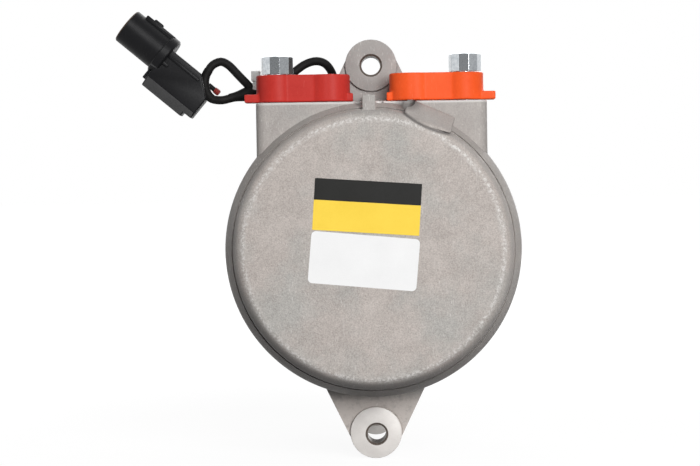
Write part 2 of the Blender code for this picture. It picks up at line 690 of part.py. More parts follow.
def port_cap(name, side, station, port_bore, colour):
    """Shipping cap: a lobe over the port, a lobe under the bolt, a waist between and end tabs."""
    port, bolt = side * PORT_X, side * PORT_BOLT_X
    cap = post(name, CAP_LOBE_RADIUS, CAP_BOTTOM, CAP_TOP, port, station)
    join(cap, post(name + "_bolt_lobe", CAP_LOBE_RADIUS, CAP_BOTTOM, CAP_TOP, bolt, station))
    waist = (bolt, station + CAP_HALF_WAIST, CAP_TOP - CAP_WAIST_DROP)
    join(cap, box(name + "_waist", (port, station - CAP_HALF_WAIST, CAP_BOTTOM), waist))
    low = (port - side * (CAP_LOBE_RADIUS + CAP_TAB_INNER), station - CAP_TAB_HALF_DEPTH, CAP_BOTTOM)
    end = bolt + side * (CAP_LOBE_RADIUS + CAP_TAB_REACH)
    join(cap, box(name + "_tabs", low, (end, station + CAP_TAB_HALF_DEPTH, CAP_BOTTOM + CAP_TAB_HEIGHT)))
    plug = port_bore - CAP_PLUG_WALL
    join(cap, post(name + "_plug", plug, CAP_BOTTOM - CAP_PLUG_DEPTH, CAP_BOTTOM + LAP, port, station))
    bottom, top = CAP_BOTTOM - OVERCUT, CAP_TOP + OVERCUT
    cut(cap, post(name + "_hole", CAP_BOLT_RADIUS + CLEAR, bottom, top, bolt, station, SMALL))
    return finish(cap, colour)


def cap_bolt(name, side, station):
    head = CAP_TOP + CLEAR
    x = side * PORT_BOLT_X
    bolt = post(name, CAP_BOLT_HEAD_RADIUS, head, head + CAP_BOLT_HEAD, x, station, 6)
    bottom = head - CAP_HEIGHT - CAP_BOLT_LENGTH
    join(bolt, post(name + "_shank", CAP_BOLT_RADIUS, bottom, head + LAP, x, station, SMALL))
    return finish(bolt, "zinc")


def spiral(angle, offset):
    """Point of the wrap's involute at an angle, moved square to the curve by the offset."""
    pull = SPIRAL_BASE * angle + offset
    x = SPIRAL_BASE * math.cos(angle) + pull * math.sin(angle)
    z = SPIRAL_BASE * math.sin(angle) - pull * math.cos(angle)
    return x, z


def wrap_outline(sign):
    """Outline of a spiral wall of even thickness, as it is or, with sign -1, half a turn on."""
    turns = (WRAP_FINISH - WRAP_START) / (2 * math.pi)
    count = round(turns * WRAP_POINTS_PER_TURN)
    angles = [WRAP_START + (WRAP_FINISH - WRAP_START) * i / count for i in range(count + 1)]
    outside = [spiral(angle, WRAP_THICKNESS / 2) for angle in angles]
    inside = [spiral(angle, -WRAP_THICKNESS / 2) for angle in reversed(angles)]
    return [(sign * x, sign * z) for x, z in outside + inside]


def fixed_scroll():
    start = LEDGE + CLEAR
    rim_end = SPIGOT_START - CLEAR
    profile = [(0.0, FIXED_PLATE_END), (FIXED_RIM, FIXED_PLATE_END), (FIXED_RIM, rim_end)]
    profile += [(FIXED_RADIUS, rim_end), (FIXED_RADIUS, start), (0.0, start)]
    scroll = turned("fixed_scroll", profile, ROUND)
    join(scroll, upright_flat("fixed_wrap", wrap_outline(1), FIXED_PLATE_END - LAP, WRAP_END))
    cut(scroll, hole("discharge_hole", DISCHARGE_HOLE, start, FIXED_PLATE_END, sides=SMALL))
    low = (-PORT_X - SUCTION_WINDOW_HALF, FIXED_PLATE_END + OVERCUT, FIXED_RIM - SUCTION_WINDOW_DEPTH)
    high = (-PORT_X + SUCTION_WINDOW_HALF, ORBIT_PLATE_END - SUCTION_WINDOW_SETBACK, BODY_RADIUS)
    cut(scroll, box("suction_window", low, high))
    screw = (0.0, REED_PITCH)
    bottom = start + REED_SCREW_DEPTH + LAP
    cut(scroll, rod("reed_thread", REED_SCREW_RADIUS + CLEAR, start - OVERCUT, bottom, screw, SMALL))
    return finish(scroll, "machined")


def discharge_valve():
    """Reed over the discharge hole, its bent stop and the screw that clamps both."""
    plate = LEDGE + CLEAR
    screw = (0.0, REED_PITCH)
    top = REED_PITCH + REED_CLAMP_RADIUS
    reed_end = plate - CLEAR
    reed_start = reed_end - REED_THICKNESS
    outline = arc(REED_TIP_RADIUS, math.pi, 2 * math.pi, 8) + arc(REED_CLAMP_RADIUS, 0.0, math.pi, 8, screw)
    reed = upright_flat("discharge_reed", outline, reed_start, reed_end)
    cut(reed, hole("reed_hole", REED_SCREW_RADIUS + CLEAR, reed_start, reed_end, screw, SMALL))
    finish(reed, "steel")
    clamp = reed_start - CLEAR
    lifted = clamp - STOP_LIFT
    outline = [(clamp, top), (lifted, -REED_TIP_RADIUS), (lifted - STOP_DEPTH / 2, -REED_TIP_RADIUS)]
    outline += [(clamp - STOP_DEPTH, STOP_BEND), (clamp - STOP_DEPTH, top)]
    side_view = [(along(station), z) for station, z in outline]
    stop = flat("reed_stop", side_view, STOP_WIDTH, (0, 0, 0), (math.pi / 2, 0, math.pi / 2))
    cut(stop, hole("stop_hole", REED_SCREW_RADIUS + CLEAR, clamp - STOP_DEPTH, clamp, screw, SMALL))
    finish(stop, "steel")
    head = clamp - STOP_DEPTH - CLEAR
    bolt = rod("reed_screw", REED_SCREW_HEAD_RADIUS, head - REED_SCREW_HEAD, head, screw, 6)
    end = plate + REED_SCREW_DEPTH
    join(bolt, rod("reed_screw_shank", REED_SCREW_RADIUS, head - LAP, end, screw, SMALL))
    finish(bolt, "zinc")


def orbiting_scroll():
    """Built about the crank pin, which rests straight below the shaft axis."""
    centre = (0.0, -ECCENTRIC)
    start = WRAP_END + CLEAR
    inner = DRIVE_BEARING_RADIUS + CLEAR
    profile = [(0.0, ORBIT_PLATE_END), (inner, ORBIT_PLATE_END), (inner, BOSS_END), (BOSS_RADIUS, BOSS_END)]
    profile += [(BOSS_RADIUS, ORBIT_PLATE_END), (ORBIT_PLATE_RADIUS, ORBIT_PLATE_END)]
    profile += [(ORBIT_PLATE_RADIUS, start), (0.0, start)]
    scroll = turned("orbiting_scroll", profile, ROUND, centre)
    join(scroll, upright_flat("orbiting_wrap", wrap_outline(-1), FIXED_PLATE_END + CLEAR, start + LAP, centre))
    floor = ORBIT_PLATE_END - GUIDE_POCKET_DEPTH
    for i in range(GUIDES):
        x, z = around(GUIDE_CIRCLE, GUIDES, i, GUIDE_FIRST)
        pocket = (x, z - ECCENTRIC)
        cut(scroll, rod("guide_pocket", GUIDE_RING_OUTER + CLEAR, floor, ORBIT_PLATE_END + OVERCUT, pocket))
    return finish(scroll, "machined")


def guides():
    """Pins fixed in the front housing that run round rings in the orbiting scroll."""
    floor = ORBIT_PLATE_END - GUIDE_POCKET_DEPTH
    start = ORBIT_PLATE_END + CLEAR
    end = start + THRUST_PLATE
    plate = ring("thrust_plate", CRANK_BORE - THRUST_LIP, FIXED_RIM - CLEAR, start, end, MEDIUM)
    for i in range(GUIDES):
        x, z = around(GUIDE_CIRCLE, GUIDES, i, GUIDE_FIRST)
        cut(plate, hole("thrust_hole", GUIDE_PIN_RADIUS + CLEAR, start, end, (x, z), SMALL))
        tip = floor + GUIDE_PIN_TIP
        bottom = SPIGOT_START + GUIDE_PIN_DEPTH
        finish(rod(f"guide_pin_{i + 1}", GUIDE_PIN_RADIUS, tip, bottom, (x, z), SMALL), "steel")
        centre = (x, z - ECCENTRIC)
        race = ring(f"guide_ring_{i + 1}", GUIDE_RING_INNER, GUIDE_RING_OUTER, floor + CLEAR,
                    ORBIT_PLATE_END - CLEAR, FINE, centre)
        finish(race, "steel")
    finish(plate, "steel")


def crank():
    """Shaft with its disc and crank pin, the bush on the pin, its bearing and the counterweight."""
    pin = (0.0, -ECCENTRIC)
    profile = [(0.0, LENGTH), (THREAD_RADIUS, LENGTH), (THREAD_RADIUS, SPLINE_END), (SPLINE_RADIUS, SPLINE_END)]
    profile += [(SPLINE_RADIUS, SPLINE_START), (NOSE_SHAFT_RADIUS, SPLINE_START)]
    profile += [(NOSE_SHAFT_RADIUS, SHAFT_STEP_STATION), (SHAFT_RADIUS, SHAFT_STEP_STATION)]
    profile += [(SHAFT_RADIUS, DISC_END), (DISC_RADIUS, DISC_END), (DISC_RADIUS, DISC_START), (0.0, DISC_START)]
    shaft = turned("drive_shaft", profile, FINE)
    join(shaft, rod("crank_pin", PIN_RADIUS, BUSH_START - CLEAR, DISC_START + LAP, pin))
    finish(shaft, "steel")
    bore = PIN_RADIUS + CLEAR
    finish(ring("eccentric_bush", bore, BUSH_RADIUS, BUSH_START, BUSH_END, FINE, pin), "steel")
    inner = BUSH_RADIUS + CLEAR
    end = BOSS_END - CLEAR
    finish(ring("drive_bearing", inner, DRIVE_BEARING_RADIUS, BUSH_START, end, FINE, pin), "steel")
    outline = arc(COUNTERWEIGHT_RADIUS, 0.0, math.pi, 14) + arc(BUSH_RADIUS, math.pi, 2 * math.pi, 8, pin)
    weight = upright_flat("counterweight", outline, COUNTERWEIGHT_START, COUNTERWEIGHT_END)
    cut(weight, hole("counterweight_bore", bore, COUNTERWEIGHT_START, COUNTERWEIGHT_END, pin))
    finish(weight, "steel")


def ball_bearing(name, bore, section, race, start, end, count):
    """Inner and outer race, and the balls held in one cage between them."""
    inner = bore + race
    outer = bore + section - race
    finish(ring(name + "_inner", bore, inner, start, end, MEDIUM), "steel")
    finish(ring(name + "_outer", outer, bore + section, start, end, MEDIUM), "steel")
    pitch = (inner + outer) / 2
    ball = (outer - inner) / 2 - CLEAR
    middle = (start + end) / 2
    half = ball * CAGE_SHARE
    cage = ring(name + "_balls", pitch - half, pitch + half, middle - half, middle + half, 2 * count)
    for i in range(count):
        x, z = around(pitch, count, i)
        mesh = bpy.data.meshes.new(name + "_ball")
        shape = bmesh.new()
        bmesh.ops.create_icosphere(shape, subdivisions=1, radius=ball)
        shape.to_mesh(mesh)
        shape.free()
        join(cage, place(name + "_ball", mesh, (x, along(middle), z)))
    finish(cage, "steel")


def snap_ring(name, inner, outer, start):
    """Spring ring with a gap at the top."""
    first = math.pi / 2 + SNAP_GAP_ANGLE
    last = 2.5 * math.pi - SNAP_GAP_ANGLE
    outline = arc(outer, first, last, 16) + arc(inner, last, first, 16)
    return finish(upright_flat(name, outline, start, start + SNAP_RING), "steel")


def bearings():
    """What carries and seals the shaft in the front housing."""
    start = BEARING_SEAT + CLEAR
    end = start + MAIN_BEARING
    ball_bearing("main_bearing", SHAFT_RADIUS + CLEAR, MAIN_SECTION, MAIN_RACE, start, end, MAIN_BALLS)
    inner = NOSE_SHAFT_RADIUS + CLEAR
    outer = NOSE_BORE - CLEAR
    start = HEAD_FRONT + NOSE_BEARING_SETBACK
    end = start + NOSE_BEARING
    finish(ring("nose_bearing", inner, outer, start, end, FINE), "steel")
    start = end + SEAL_SETBACK
    end = start + SEAL_LENGTH
    root, tip = SEAL_LIP_RADII
    lip = [(outer, end), (outer, start), (root, start), (tip, start + SEAL_LIP_DEPTH), (inner, start + LAP / 2)]
    finish(turned("shaft_seal", lip + [(inner, end)], FINE), "rubber")
    snap_ring("seal_snap_ring", SEAL_RING_INNER, outer, end + CLEAR)


def pulley_profile():
    """Section of the rotor: belt grooves outside, a channel for the coil, bearing bore inside."""
    first = (PULLEY_START + FRICTION_FACE) / 2 + GROOVES * GROOVE_PITCH / 2
    bottom = PULLEY_RADIUS - GROOVE_DEPTH
    profile = [(PULLEY_RADIUS, FRICTION_FACE)]
    for i in range(GROOVES):
        station = first - i * GROOVE_PITCH
        middle = station - GROOVE_PITCH / 2
        profile += [(PULLEY_RADIUS, station - GROOVE_FLAT / 2), (bottom, middle + GROOVE_FLAT / 2)]
        profile += [(bottom, middle - GROOVE_FLAT / 2)]
    profile += [(PULLEY_RADIUS, first - GROOVES * GROOVE_PITCH), (PULLEY_RADIUS, PULLEY_START)]
    web = FRICTION_FACE - PULLEY_WEB
    profile += [(PULLEY_RIM_INNER, PULLEY_START), (PULLEY_RIM_INNER, web), (PULLEY_HUB_OUTER, web)]
    hub = PULLEY_START + PULLEY_HUB_SETBACK
    return profile + [(PULLEY_HUB_OUTER, hub), (PULLEY_HUB_INNER, hub), (PULLEY_HUB_INNER, FRICTION_FACE)]


def cut_slots(target, count, circle, angle, start, end, first):
    """Curved flux slots through a disc."""
    half = FLUX_SLOT_WIDTH / 2
    for i in range(count):
        middle = first + 2 * math.pi * i / count
        low, high = middle - angle / 2, middle + angle / 2
        outline = arc(circle + half, low, high, 4) + arc(circle - half, high, low, 4)
        cut(target, upright_flat("flux_slot", outline, start - OVERCUT, end + OVERCUT))


def driving_clutch():
    """Pulley on its bearing, with the coil that stands still inside it."""
    pulley = turned("pulley", pulley_profile(), MEDIUM)
    circle = (PULLEY_HUB_OUTER + PULLEY_RIM_INNER) / 2
    cut_slots(pulley, FLUX_SLOTS, circle, FLUX_SLOT_ANGLE, FRICTION_FACE - PULLEY_WEB, FRICTION_FACE, 0.0)
    finish(pulley, "painted")
    bore = NOSE_RADIUS + CLEAR
    ball_bearing("pulley_bearing", bore, PULLEY_SECTION, PULLEY_RACE, PULLEY_BEARING_START, PULLEY_BEARING_END,
                 PULLEY_BALLS)
    groove = NOSE_GROOVE_RADIUS + CLEAR
    snap_ring("bearing_snap_ring", groove, NOSE_RADIUS + SNAP_STAND, SNAP_GROOVE_START + CLEAR)

    back = HEAD_FRONT + CLEAR
    floor = back + COIL_BACK
    plate = floor - COIL_PLATE_STEP
    end = back + COIL_LENGTH
    inner = COIL_INNER + COIL_WALL
    outer = COIL_OUTER - COIL_WALL
    seat = NOSE_STEP_RADIUS + CLEAR
    profile = [(COIL_OUTER, end), (COIL_OUTER, back), (seat, back), (seat, plate), (COIL_INNER, plate)]
    profile += [(COIL_INNER, end), (inner, end), (inner, floor), (outer, floor), (outer, end)]
    finish(turned("coil_housing", profile, MEDIUM), "painted")
    winding = ring("coil_winding", inner + CLEAR, outer - CLEAR, floor + CLEAR, end - COIL_FILL, MEDIUM)
    finish(winding, "copper")
    ring_inner = NOSE_RADIUS + CLEAR
    snap_ring("coil_snap_ring", ring_inner, ring_inner + COIL_SNAP_WIDTH, NOSE_STEP_END + CLEAR)


def leaf_spring(name, root, tip, start, end):
    """Strip with round ends from a hub arm out to the armature plate."""
    heading = math.atan2(tip[1] - root[1], tip[0] - root[0])
    outline = arc(LEAF_HALF_WIDTH, heading + math.pi / 2, heading + 1.5 * math.pi, 6, root)
    outline += arc(LEAF_HALF_WIDTH, heading - math.pi / 2, heading + math.pi / 2, 6, tip)
    return upright_flat(name, outline, start, end)


def driven_clutch():
    """Armature plate, the leaf springs that carry it, the hub on the spline, its shim and nut."""
    start = FRICTION_FACE + AIR_GAP
    end = start + ARMATURE_THICKNESS
    leaf_start = end + CLEAR
    leaf_end = leaf_start + LEAF_THICKNESS
    hub_start = leaf_end + CLEAR
    hub_end = hub_start + HUB_PLATE
    armature = ring("armature_plate", ARMATURE_INNER, ARMATURE_OUTER, start, end, MEDIUM)
    cut_slots(armature, ARMATURE_SLOTS, ARMATURE_CIRCLE, ARMATURE_SLOT_ANGLE, start, end, math.pi / 2)
    arms = []
    for i in range(LEAVES):
        middle = 2 * math.pi * i / LEAVES
        arms += arc(HUB_ARM_CIRCLE + HUB_ARM_END, middle - HUB_ARM_ANGLE, middle + HUB_ARM_ANGLE, 4)
        low, high = HUB_WAIST_ANGLES
        arms += arc(HUB_WAIST, middle + low, middle + high, 3)
    hub = upright_flat("clutch_hub", arms, hub_start, hub_end)
    join(hub, rod("hub_boss", HUB_BOSS_RADIUS, HUB_BOSS_START, HUB_BOSS_END))
    cut(hub, hole("hub_bore", SPLINE_RADIUS + CLEAR, HUB_BOSS_START, HUB_BOSS_END))
    rivet_hole = RIVET_RADIUS + CLEAR
    for i in range(LEAVES):
        root = around(HUB_ARM_CIRCLE, LEAVES, i)
        tip = around(ARMATURE_CIRCLE, LEAVES, i, LEAF_LEAD)
        leaf = leaf_spring(f"leaf_spring_{i + 1}", root, tip, leaf_start, leaf_end)
        join(leaf, rod("hub_rivet", RIVET_RADIUS, leaf_start + CLEAR, hub_end + RIVET_HEAD, root, SMALL))
        join(leaf, rod("armature_rivet", RIVET_RADIUS, end - RIVET_DEPTH, leaf_end + RIVET_HEAD, tip, SMALL))
        finish(leaf, "steel")
        cut(hub, hole("hub_rivet_hole", rivet_hole, hub_start, hub_end, root, SMALL))
        cut(armature, hole("armature_rivet_hole", rivet_hole, start, end, tip, SMALL))
    finish(armature, "steel")
    finish(hub, "steel")
    shim = ring("clutch_shim", SPLINE_RADIUS + CLEAR, SHIM_RADIUS, SPLINE_START + CLEAR, SHIM_END, FINE)
    finish(shim, "steel")
    nut = rod("hub_nut", NUT_RADIUS, NUT_START, NUT_END, sides=6)
    cut(nut, hole("nut_thread", THREAD_RADIUS + CLEAR, NUT_START, NUT_END, sides=FINE))
    finish(nut, "zinc")


def on_connector(u, n, depth=0.0):
    """World place at u along the connector from its mouth, n square to that, depth along Y."""
    x = CONNECTOR_MOUTH[0] + u * math.cos(CONNECTOR_TILT) + n * math.sin(CONNECTOR_TILT)
    z = CONNECTOR_MOUTH[1] - u * math.sin(CONNECTOR_TILT) + n * math.cos(CONNECTOR_TILT)
    return x, along(CONNECTOR_STATION) + depth, z


def tilted_box(name, size, u, n, depth=0.0):
    return cube(name, size, on_connector(u, n, depth), (0, CONNECTOR_TILT, 0))


def tilted_rod(name, radius, start, end):
    rotation = (0, CONNECTOR_TILT + math.pi / 2, 0)
    return cylinder(name, radius, end - start, on_connector((start + end) / 2, 0.0), rotation)


def connector():
    block_end = BARREL_LENGTH + PLUG_BLOCK[0]
    body = tilted_box("connector_housing", PLUG_BLOCK, BARREL_LENGTH + PLUG_BLOCK[0] / 2, -PLUG_BLOCK_DROP)
    join(body, tilted_rod("barrel", BARREL_RADIUS, 0.0, BARREL_LENGTH + LAP))
    collar_start = BARREL_LENGTH - COLLAR_WIDTH
    join(body, tilted_rod("collar", BARREL_RADIUS + COLLAR_STAND, collar_start, BARREL_LENGTH + LAP))
    rib = BARREL_RADIUS + LOCK_RIB_STAND - LOCK_RIB[2] / 2
    join(body, tilted_box("lock_rib", LOCK_RIB, LOCK_RIB_MIDDLE, rib))
    floor = BARREL_LENGTH - BARREL_FLOOR
    cut(body, tilted_rod("barrel_bore", BARREL_BORE, -OVERCUT, floor))
    length, height = PLUG_NOTCH
    notch = (2 * length, 2 * PLUG_BLOCK[1], 2 * height)
    cut(body, tilted_box("block_notch", notch, block_end, -PLUG_BLOCK_DROP - PLUG_BLOCK[2] / 2))
    finish(body, "black")
    for i, side in enumerate((-1, 1)):
        middle = floor - CLEAR - PIN[0] / 2
        finish(tilted_box(f"connector_pin_{i + 1}", PIN, middle, 0.0, side * PIN_PITCH / 2), "zinc")


def smooth_route(points, step):
    """Points read from a smooth curve through a route's own points, about one step apart."""
    route = []
    ends = [points[0]] + list(points) + [points[-1]]
    for before, start, end, after in zip(ends, ends[1:], ends[2:], ends[3:]):
        count = max(1, round(math.dist(start, end) / step))
        for i in range(count):
            t = i / count
            weights = (-0.5 * t + t**2 - 0.5 * t**3, 1 - 2.5 * t**2 + 1.5 * t**3,
                       0.5 * t + 2 * t**2 - 1.5 * t**3, -0.5 * t**2 + 0.5 * t**3)
            corners = (before, start, end, after)
            route.append([sum(w * corner[k] for w, corner in zip(weights, corners)) for k in range(3)])
    route.append(list(points[-1]))
    return route


def lead(name, points, plug_end):
    """A lead along (x, station, z) points and on to the connector's own places."""
    curve = bpy.data.curves.new(name, "CURVE")
    curve.dimensions = "3D"
    curve.bevel_depth = LEAD_RADIUS
    curve.bevel_resolution = 2
    curve.use_fill_caps = True
    spline = curve.splines.new("POLY")
    route = smooth_route([(x, along(station), z) for x, station, z in points] + plug_end, LEAD_STEP)
    spline.points.add(len(route) - 1)
    for point, place_of in zip(spline.points, route):
        point.co = (*place_of, 1.0)
    return finish(place(name, curve, (0, 0, 0)), "rubber")


def leads():
    """Gland at the coil, and both leads from it to the top and the end of the connector's block."""
    width, depth, height = GLAND_SIZE
    start = HEAD_FRONT - depth
    low = (GLAND_X - width / 2, start, GLAND_Z - height / 2)
    finish(box("lead_gland", low, (GLAND_X + width / 2, HEAD_FRONT, GLAND_Z + height / 2)), "rubber")
    end = start - CLEAR
    block_end = BARREL_LENGTH + PLUG_BLOCK[0]
    block_top = PLUG_BLOCK[2] / 2 - PLUG_BLOCK_DROP
    upper = [
        (GLAND_X + LEAD_SPREAD / 2, end, GLAND_Z), (-0.0144, 0.1050, 0.0440), (-0.0144, 0.0985, 0.0505),
        (-0.0145, 0.0915, 0.0600), (-0.0148, 0.0830, 0.0642), (-0.0152, 0.0730, 0.0638),
        (-0.0154, 0.0640, 0.0640), (-0.0155, 0.0570, 0.0660), (-0.0159, 0.0520, 0.0719),
        (-0.0186, 0.0495, 0.0765), (-0.0227, 0.0482, 0.0780), (-0.0276, 0.0470, 0.0766),
        (-0.0332, 0.0450, 0.0726), (-0.0394, 0.0420, 0.0687), (-0.0444, 0.0398, 0.0668),
        (-0.0495, 0.0384, 0.0669), (-0.0519, 0.0379, 0.0689), (-0.0551, 0.0372, 0.0723),
        (-0.0588, 0.0366, 0.0762), (-0.0620, 0.0360, 0.0777), (-0.0653, 0.0355, 0.0764),
    ]
    exit_u = block_end - LEAD_SETBACK
    plug_end = [on_connector(exit_u, block_top + LEAD_STUB), on_connector(exit_u, block_top + CLEAR)]
    lead("coil_lead_upper", upper, plug_end)
    lower = [
        (GLAND_X - LEAD_SPREAD / 2, end, GLAND_Z), (-0.0187, 0.1050, 0.0440), (-0.0187, 0.0985, 0.0505),
        (-0.0188, 0.0915, 0.0592), (-0.0192, 0.0830, 0.0626), (-0.0196, 0.0730, 0.0618),
        (-0.0200, 0.0640, 0.0620), (-0.0215, 0.0550, 0.0623), (-0.0266, 0.0480, 0.0625),
        (-0.0332, 0.0430, 0.0625), (-0.0398, 0.0403, 0.0626), (-0.0454, 0.0390, 0.0628),
        (-0.0505, 0.0383, 0.0630), (-0.0566, 0.0372, 0.0629), (-0.0617, 0.0360, 0.0618),
    ]
    exit_n = LEAD_EXIT_RISE - PLUG_BLOCK_DROP
    plug_end = [on_connector(block_end + LEAD_STUB, exit_n), on_connector(block_end + CLEAR, exit_n)]
    lead("coil_lead_lower", lower, plug_end)


def cable_tie():
    """Strap round both leads with its square head on top."""
    inner = LEAD_RADIUS + TIE_ROOM
    outer = inner + TIE_WALL
    rotation = (math.pi / 2, 0, math.pi / 2)
    centre = (TIE_X, along(TIE_STATION), 0.0)

    def strap(radius):
        bottom = arc(radius, math.pi, 2 * math.pi, 8, (0.0, TIE_LOW))
        return bottom + arc(radius, 0.0, math.pi, 8, (0.0, TIE_HIGH))

    tie = flat("cable_tie", strap(outer), TIE_WIDTH, centre, rotation)
    width, depth, height = TIE_HEAD
    top = TIE_HIGH + outer - CLEAR
    low = (TIE_X - width / 2, TIE_STATION - depth / 2, top)
    join(tie, box("tie_head", low, (TIE_X + width / 2, TIE_STATION + depth / 2, top + height)))
    cut(tie, flat("tie_hollow", strap(inner), 2 * TIE_WIDTH, centre, rotation))
    finish(tie, "white")


rear_housing()
front_housing()
housing_fasteners()
port_cap("left_port_cap", -1, SUCTION_STATION, SUCTION_BORE, "red")
port_cap("right_port_cap", 1, DISCHARGE_STATION, DISCHARGE_BORE, "orange")
cap_bolt("left_cap_bolt", -1, SUCTION_STATION)
cap_bolt("right_cap_bolt", 1, DISCHARGE_STATION)
fixed_scroll()
discharge_valve()
orbiting_scroll()
guides()
crank()
bearings()
driving_clutch()
driven_clutch()
connector()
leads()
cable_tie()
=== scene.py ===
"""Finish of a belt-driven refrigeration compressor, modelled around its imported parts.

The shaft runs along Y, and the plain rear face looks toward -Y. A station is a distance from the
rear face along the shaft. Lengths are in metres.
"""
import json
import math

import bmesh
import bpy
from mathutils import Matrix, Vector


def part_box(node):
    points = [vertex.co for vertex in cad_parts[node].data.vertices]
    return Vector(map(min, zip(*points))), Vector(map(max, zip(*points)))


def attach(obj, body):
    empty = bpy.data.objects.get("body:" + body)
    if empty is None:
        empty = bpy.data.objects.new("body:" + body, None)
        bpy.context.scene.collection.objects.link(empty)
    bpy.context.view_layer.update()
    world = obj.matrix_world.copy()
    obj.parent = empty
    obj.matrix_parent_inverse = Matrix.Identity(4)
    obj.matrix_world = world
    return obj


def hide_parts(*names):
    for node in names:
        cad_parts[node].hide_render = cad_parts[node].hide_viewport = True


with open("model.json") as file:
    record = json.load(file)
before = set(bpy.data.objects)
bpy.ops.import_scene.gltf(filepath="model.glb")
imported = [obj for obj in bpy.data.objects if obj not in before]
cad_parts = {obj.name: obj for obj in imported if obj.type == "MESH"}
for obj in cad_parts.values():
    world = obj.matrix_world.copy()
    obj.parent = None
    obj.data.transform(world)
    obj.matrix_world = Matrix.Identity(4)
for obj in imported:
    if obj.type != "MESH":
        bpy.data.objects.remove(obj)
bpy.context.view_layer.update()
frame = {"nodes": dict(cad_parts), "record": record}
NODES = frame["nodes"]

# Photograph's frame and the camera that fits it
IMAGE = (700, 466)
FOCAL_PIXELS = 2235
SENSOR = 36.0
DISTANCE = 0.9
SHAFT_VANISHES_AT = (372, 185)
FACE_CENTRE_AT = (373.5, 249)
FACE_STATION = 0.010
ROLL = math.radians(0.85)

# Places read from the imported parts
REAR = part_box("rear_housing")[0].y
BODY_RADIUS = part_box("front_housing")[1].x
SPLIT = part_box("rear_housing")[1].y - REAR
LUG_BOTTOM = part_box("rear_housing")[0].z
LUG_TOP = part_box("rear_housing")[1].z

# Gap between seated pieces, reach of joined or cutting shapes past a face, and limit of "at the same place"
SEAT_GAP = 0.0003
OVERLAP = 0.001
NEAR = 0.0001

# Castings: a pair is two stations or x and height, and a triple is x, station and height
SOLID_LUG_RADIUS = 0.0102
LUG_RADIUS = 0.0106
FRONT_LUG_RADIUS = 0.0085
LUG_HOLE = 0.0039
LUG_CHAMFER = 0.0047
LOWER_BORE_SHIFT = (0.0003, -0.0006)
UPPER_LUG = LUG_TOP - SOLID_LUG_RADIUS
LOWER_LUG = -LUG_BOTTOM - SOLID_LUG_RADIUS
LUG_WEB_ANGLE = math.radians(26)
REAR_LUG = (0.031, 0.047)
FRONT_LUG = (0.100, 0.116)
LUG_STEP = 0.0015
LUG_WEB_INSET = 0.0003
LUG_GROOVE_INSIDE = 0.0010
LUG_GROOVE_OUTSIDE = 0.0004
LUG_GROOVE_DEPTH = 0.0004
BLOCK_HALF_WIDTH = 0.0467
BLOCK_TOP = BODY_RADIUS - 0.0005
BLOCK_FOOT = 0.0356
BLOCK = (0.011, 0.036)
CHAMBER_RADIUS = 0.050
FACE_FLAT_RADIUS = 0.0508
FACE_EDGE_RADIUS = 0.0057
SWELLING = (0.0232, 0.0530)
SWELLING_TILT = math.radians(17)
CREASE_RADIUS = 0.0006
SWELLING_CREASE = [(0.0125, 0.0036, 0.0548), (0.0142, 0.0015, 0.0532), (0.0189, 0.0003, 0.0499),
                   (0.0246, 0.0003, 0.0474), (0.0300, 0.0011, 0.0458), (0.0330, 0.0038, 0.0460),
                   (0.0338, 0.0068, 0.0476)]
CREASE_CENTRE = (0.0360, 0.0790)
CREASE_ARC = 0.0337
CORE_POCKET = (0.0149, 0.0090, 0.0580)
HOUSING_BOLTS = 6
HOUSING_BOLT_CIRCLE = 0.055
WASHER = (0.0883, 0.0889)

# Ports
PORT_X = 0.0166
BOLT_X = 0.0382
PORT_STATIONS = {-1: 0.022, 1: 0.020}
CAP_LOBE = 0.0083
CAP_RISE = 0.0003
CAP_SHIFT = {-1: -0.0003, 1: -0.0009}
CAP_SECOND_LOBE = 0.0015
CAP_HALF_WAIST = 0.0070
CAP_TAB_HALF = 0.0045
CAP_TAB_HEIGHT = 0.0034
CAP_BOLT_SIDES = 10

# Leads and plug, whose block has a length, a depth and a height
LEAD_RADIUS = 0.00175
PLUG_MOUTH = (-0.1020, 0.0944)
PLUG_STATION = 0.0345
PLUG_TILT = math.radians(40.05)
PLUG_SHIFT = 0.0019
BARREL_LENGTH = 0.0202
BARREL_RADIUS = 0.0076
BARREL_BORE = 0.0061
PLUG_BLOCK = (0.0248, 0.013, 0.0190)
PLUG_DROP = 0.0055
BLOCK_END = BARREL_LENGTH + PLUG_BLOCK[0]
PLUG_SIDE = PLUG_BLOCK[2] / 2 - PLUG_DROP
TIE_X = -0.0477
TIE_STATION = 0.0388
TIE_LOW = 0.0640
TIE_HIGH = 0.0668

# Blank stickers: middle, size, tilt, corner radius, and where the upper one changes colour
LOWER_STICKER = ((-0.0039, -0.0045), (0.0434, 0.0208), math.radians(5.4), 0.0018)
UPPER_STICKER = ((-0.0023, 0.0171), (0.0427, 0.0207), math.radians(4.1), 0.0003)
UPPER_STICKER_CHANGE = 0.0017
STICKER_LAYER = 0.00005
STICKER_SUNK = 0.0001

# Clutch: stations from rear to front, and circles of rivets and slots
PULLEY = (0.121, 0.147)
PULLEY_RADIUS = 0.056
PULLEY_WEB = 0.0052
GROOVES = 5
GROOVE_PITCH = 0.00356
GROOVE_DEPTH = 0.0032
FLUX_SLOT_CIRCLE = 0.0394
FLUX_SLOT_WIDTH = 0.0024
ARMATURE = (0.1475, 0.1520)
ARMATURE_CIRCLE = 0.04175
LEAVES = 3
LEAF = (0.1523, 0.1533)
LEAF_HALF_WIDTH = 0.0036
LEAF_LEAD = math.radians(40)
HUB_PLATE = (0.1536, 0.1570)
HUB_CIRCLE = 0.026
RIVET_HOLE = 0.0021


def at(station):
    """World Y of a station."""
    return REAR + station


# Modelling by hand

def deselect():
    if bpy.context.object and bpy.context.object.mode != "OBJECT":
        bpy.ops.object.mode_set(mode="OBJECT")
    bpy.ops.object.select_all(action="DESELECT")


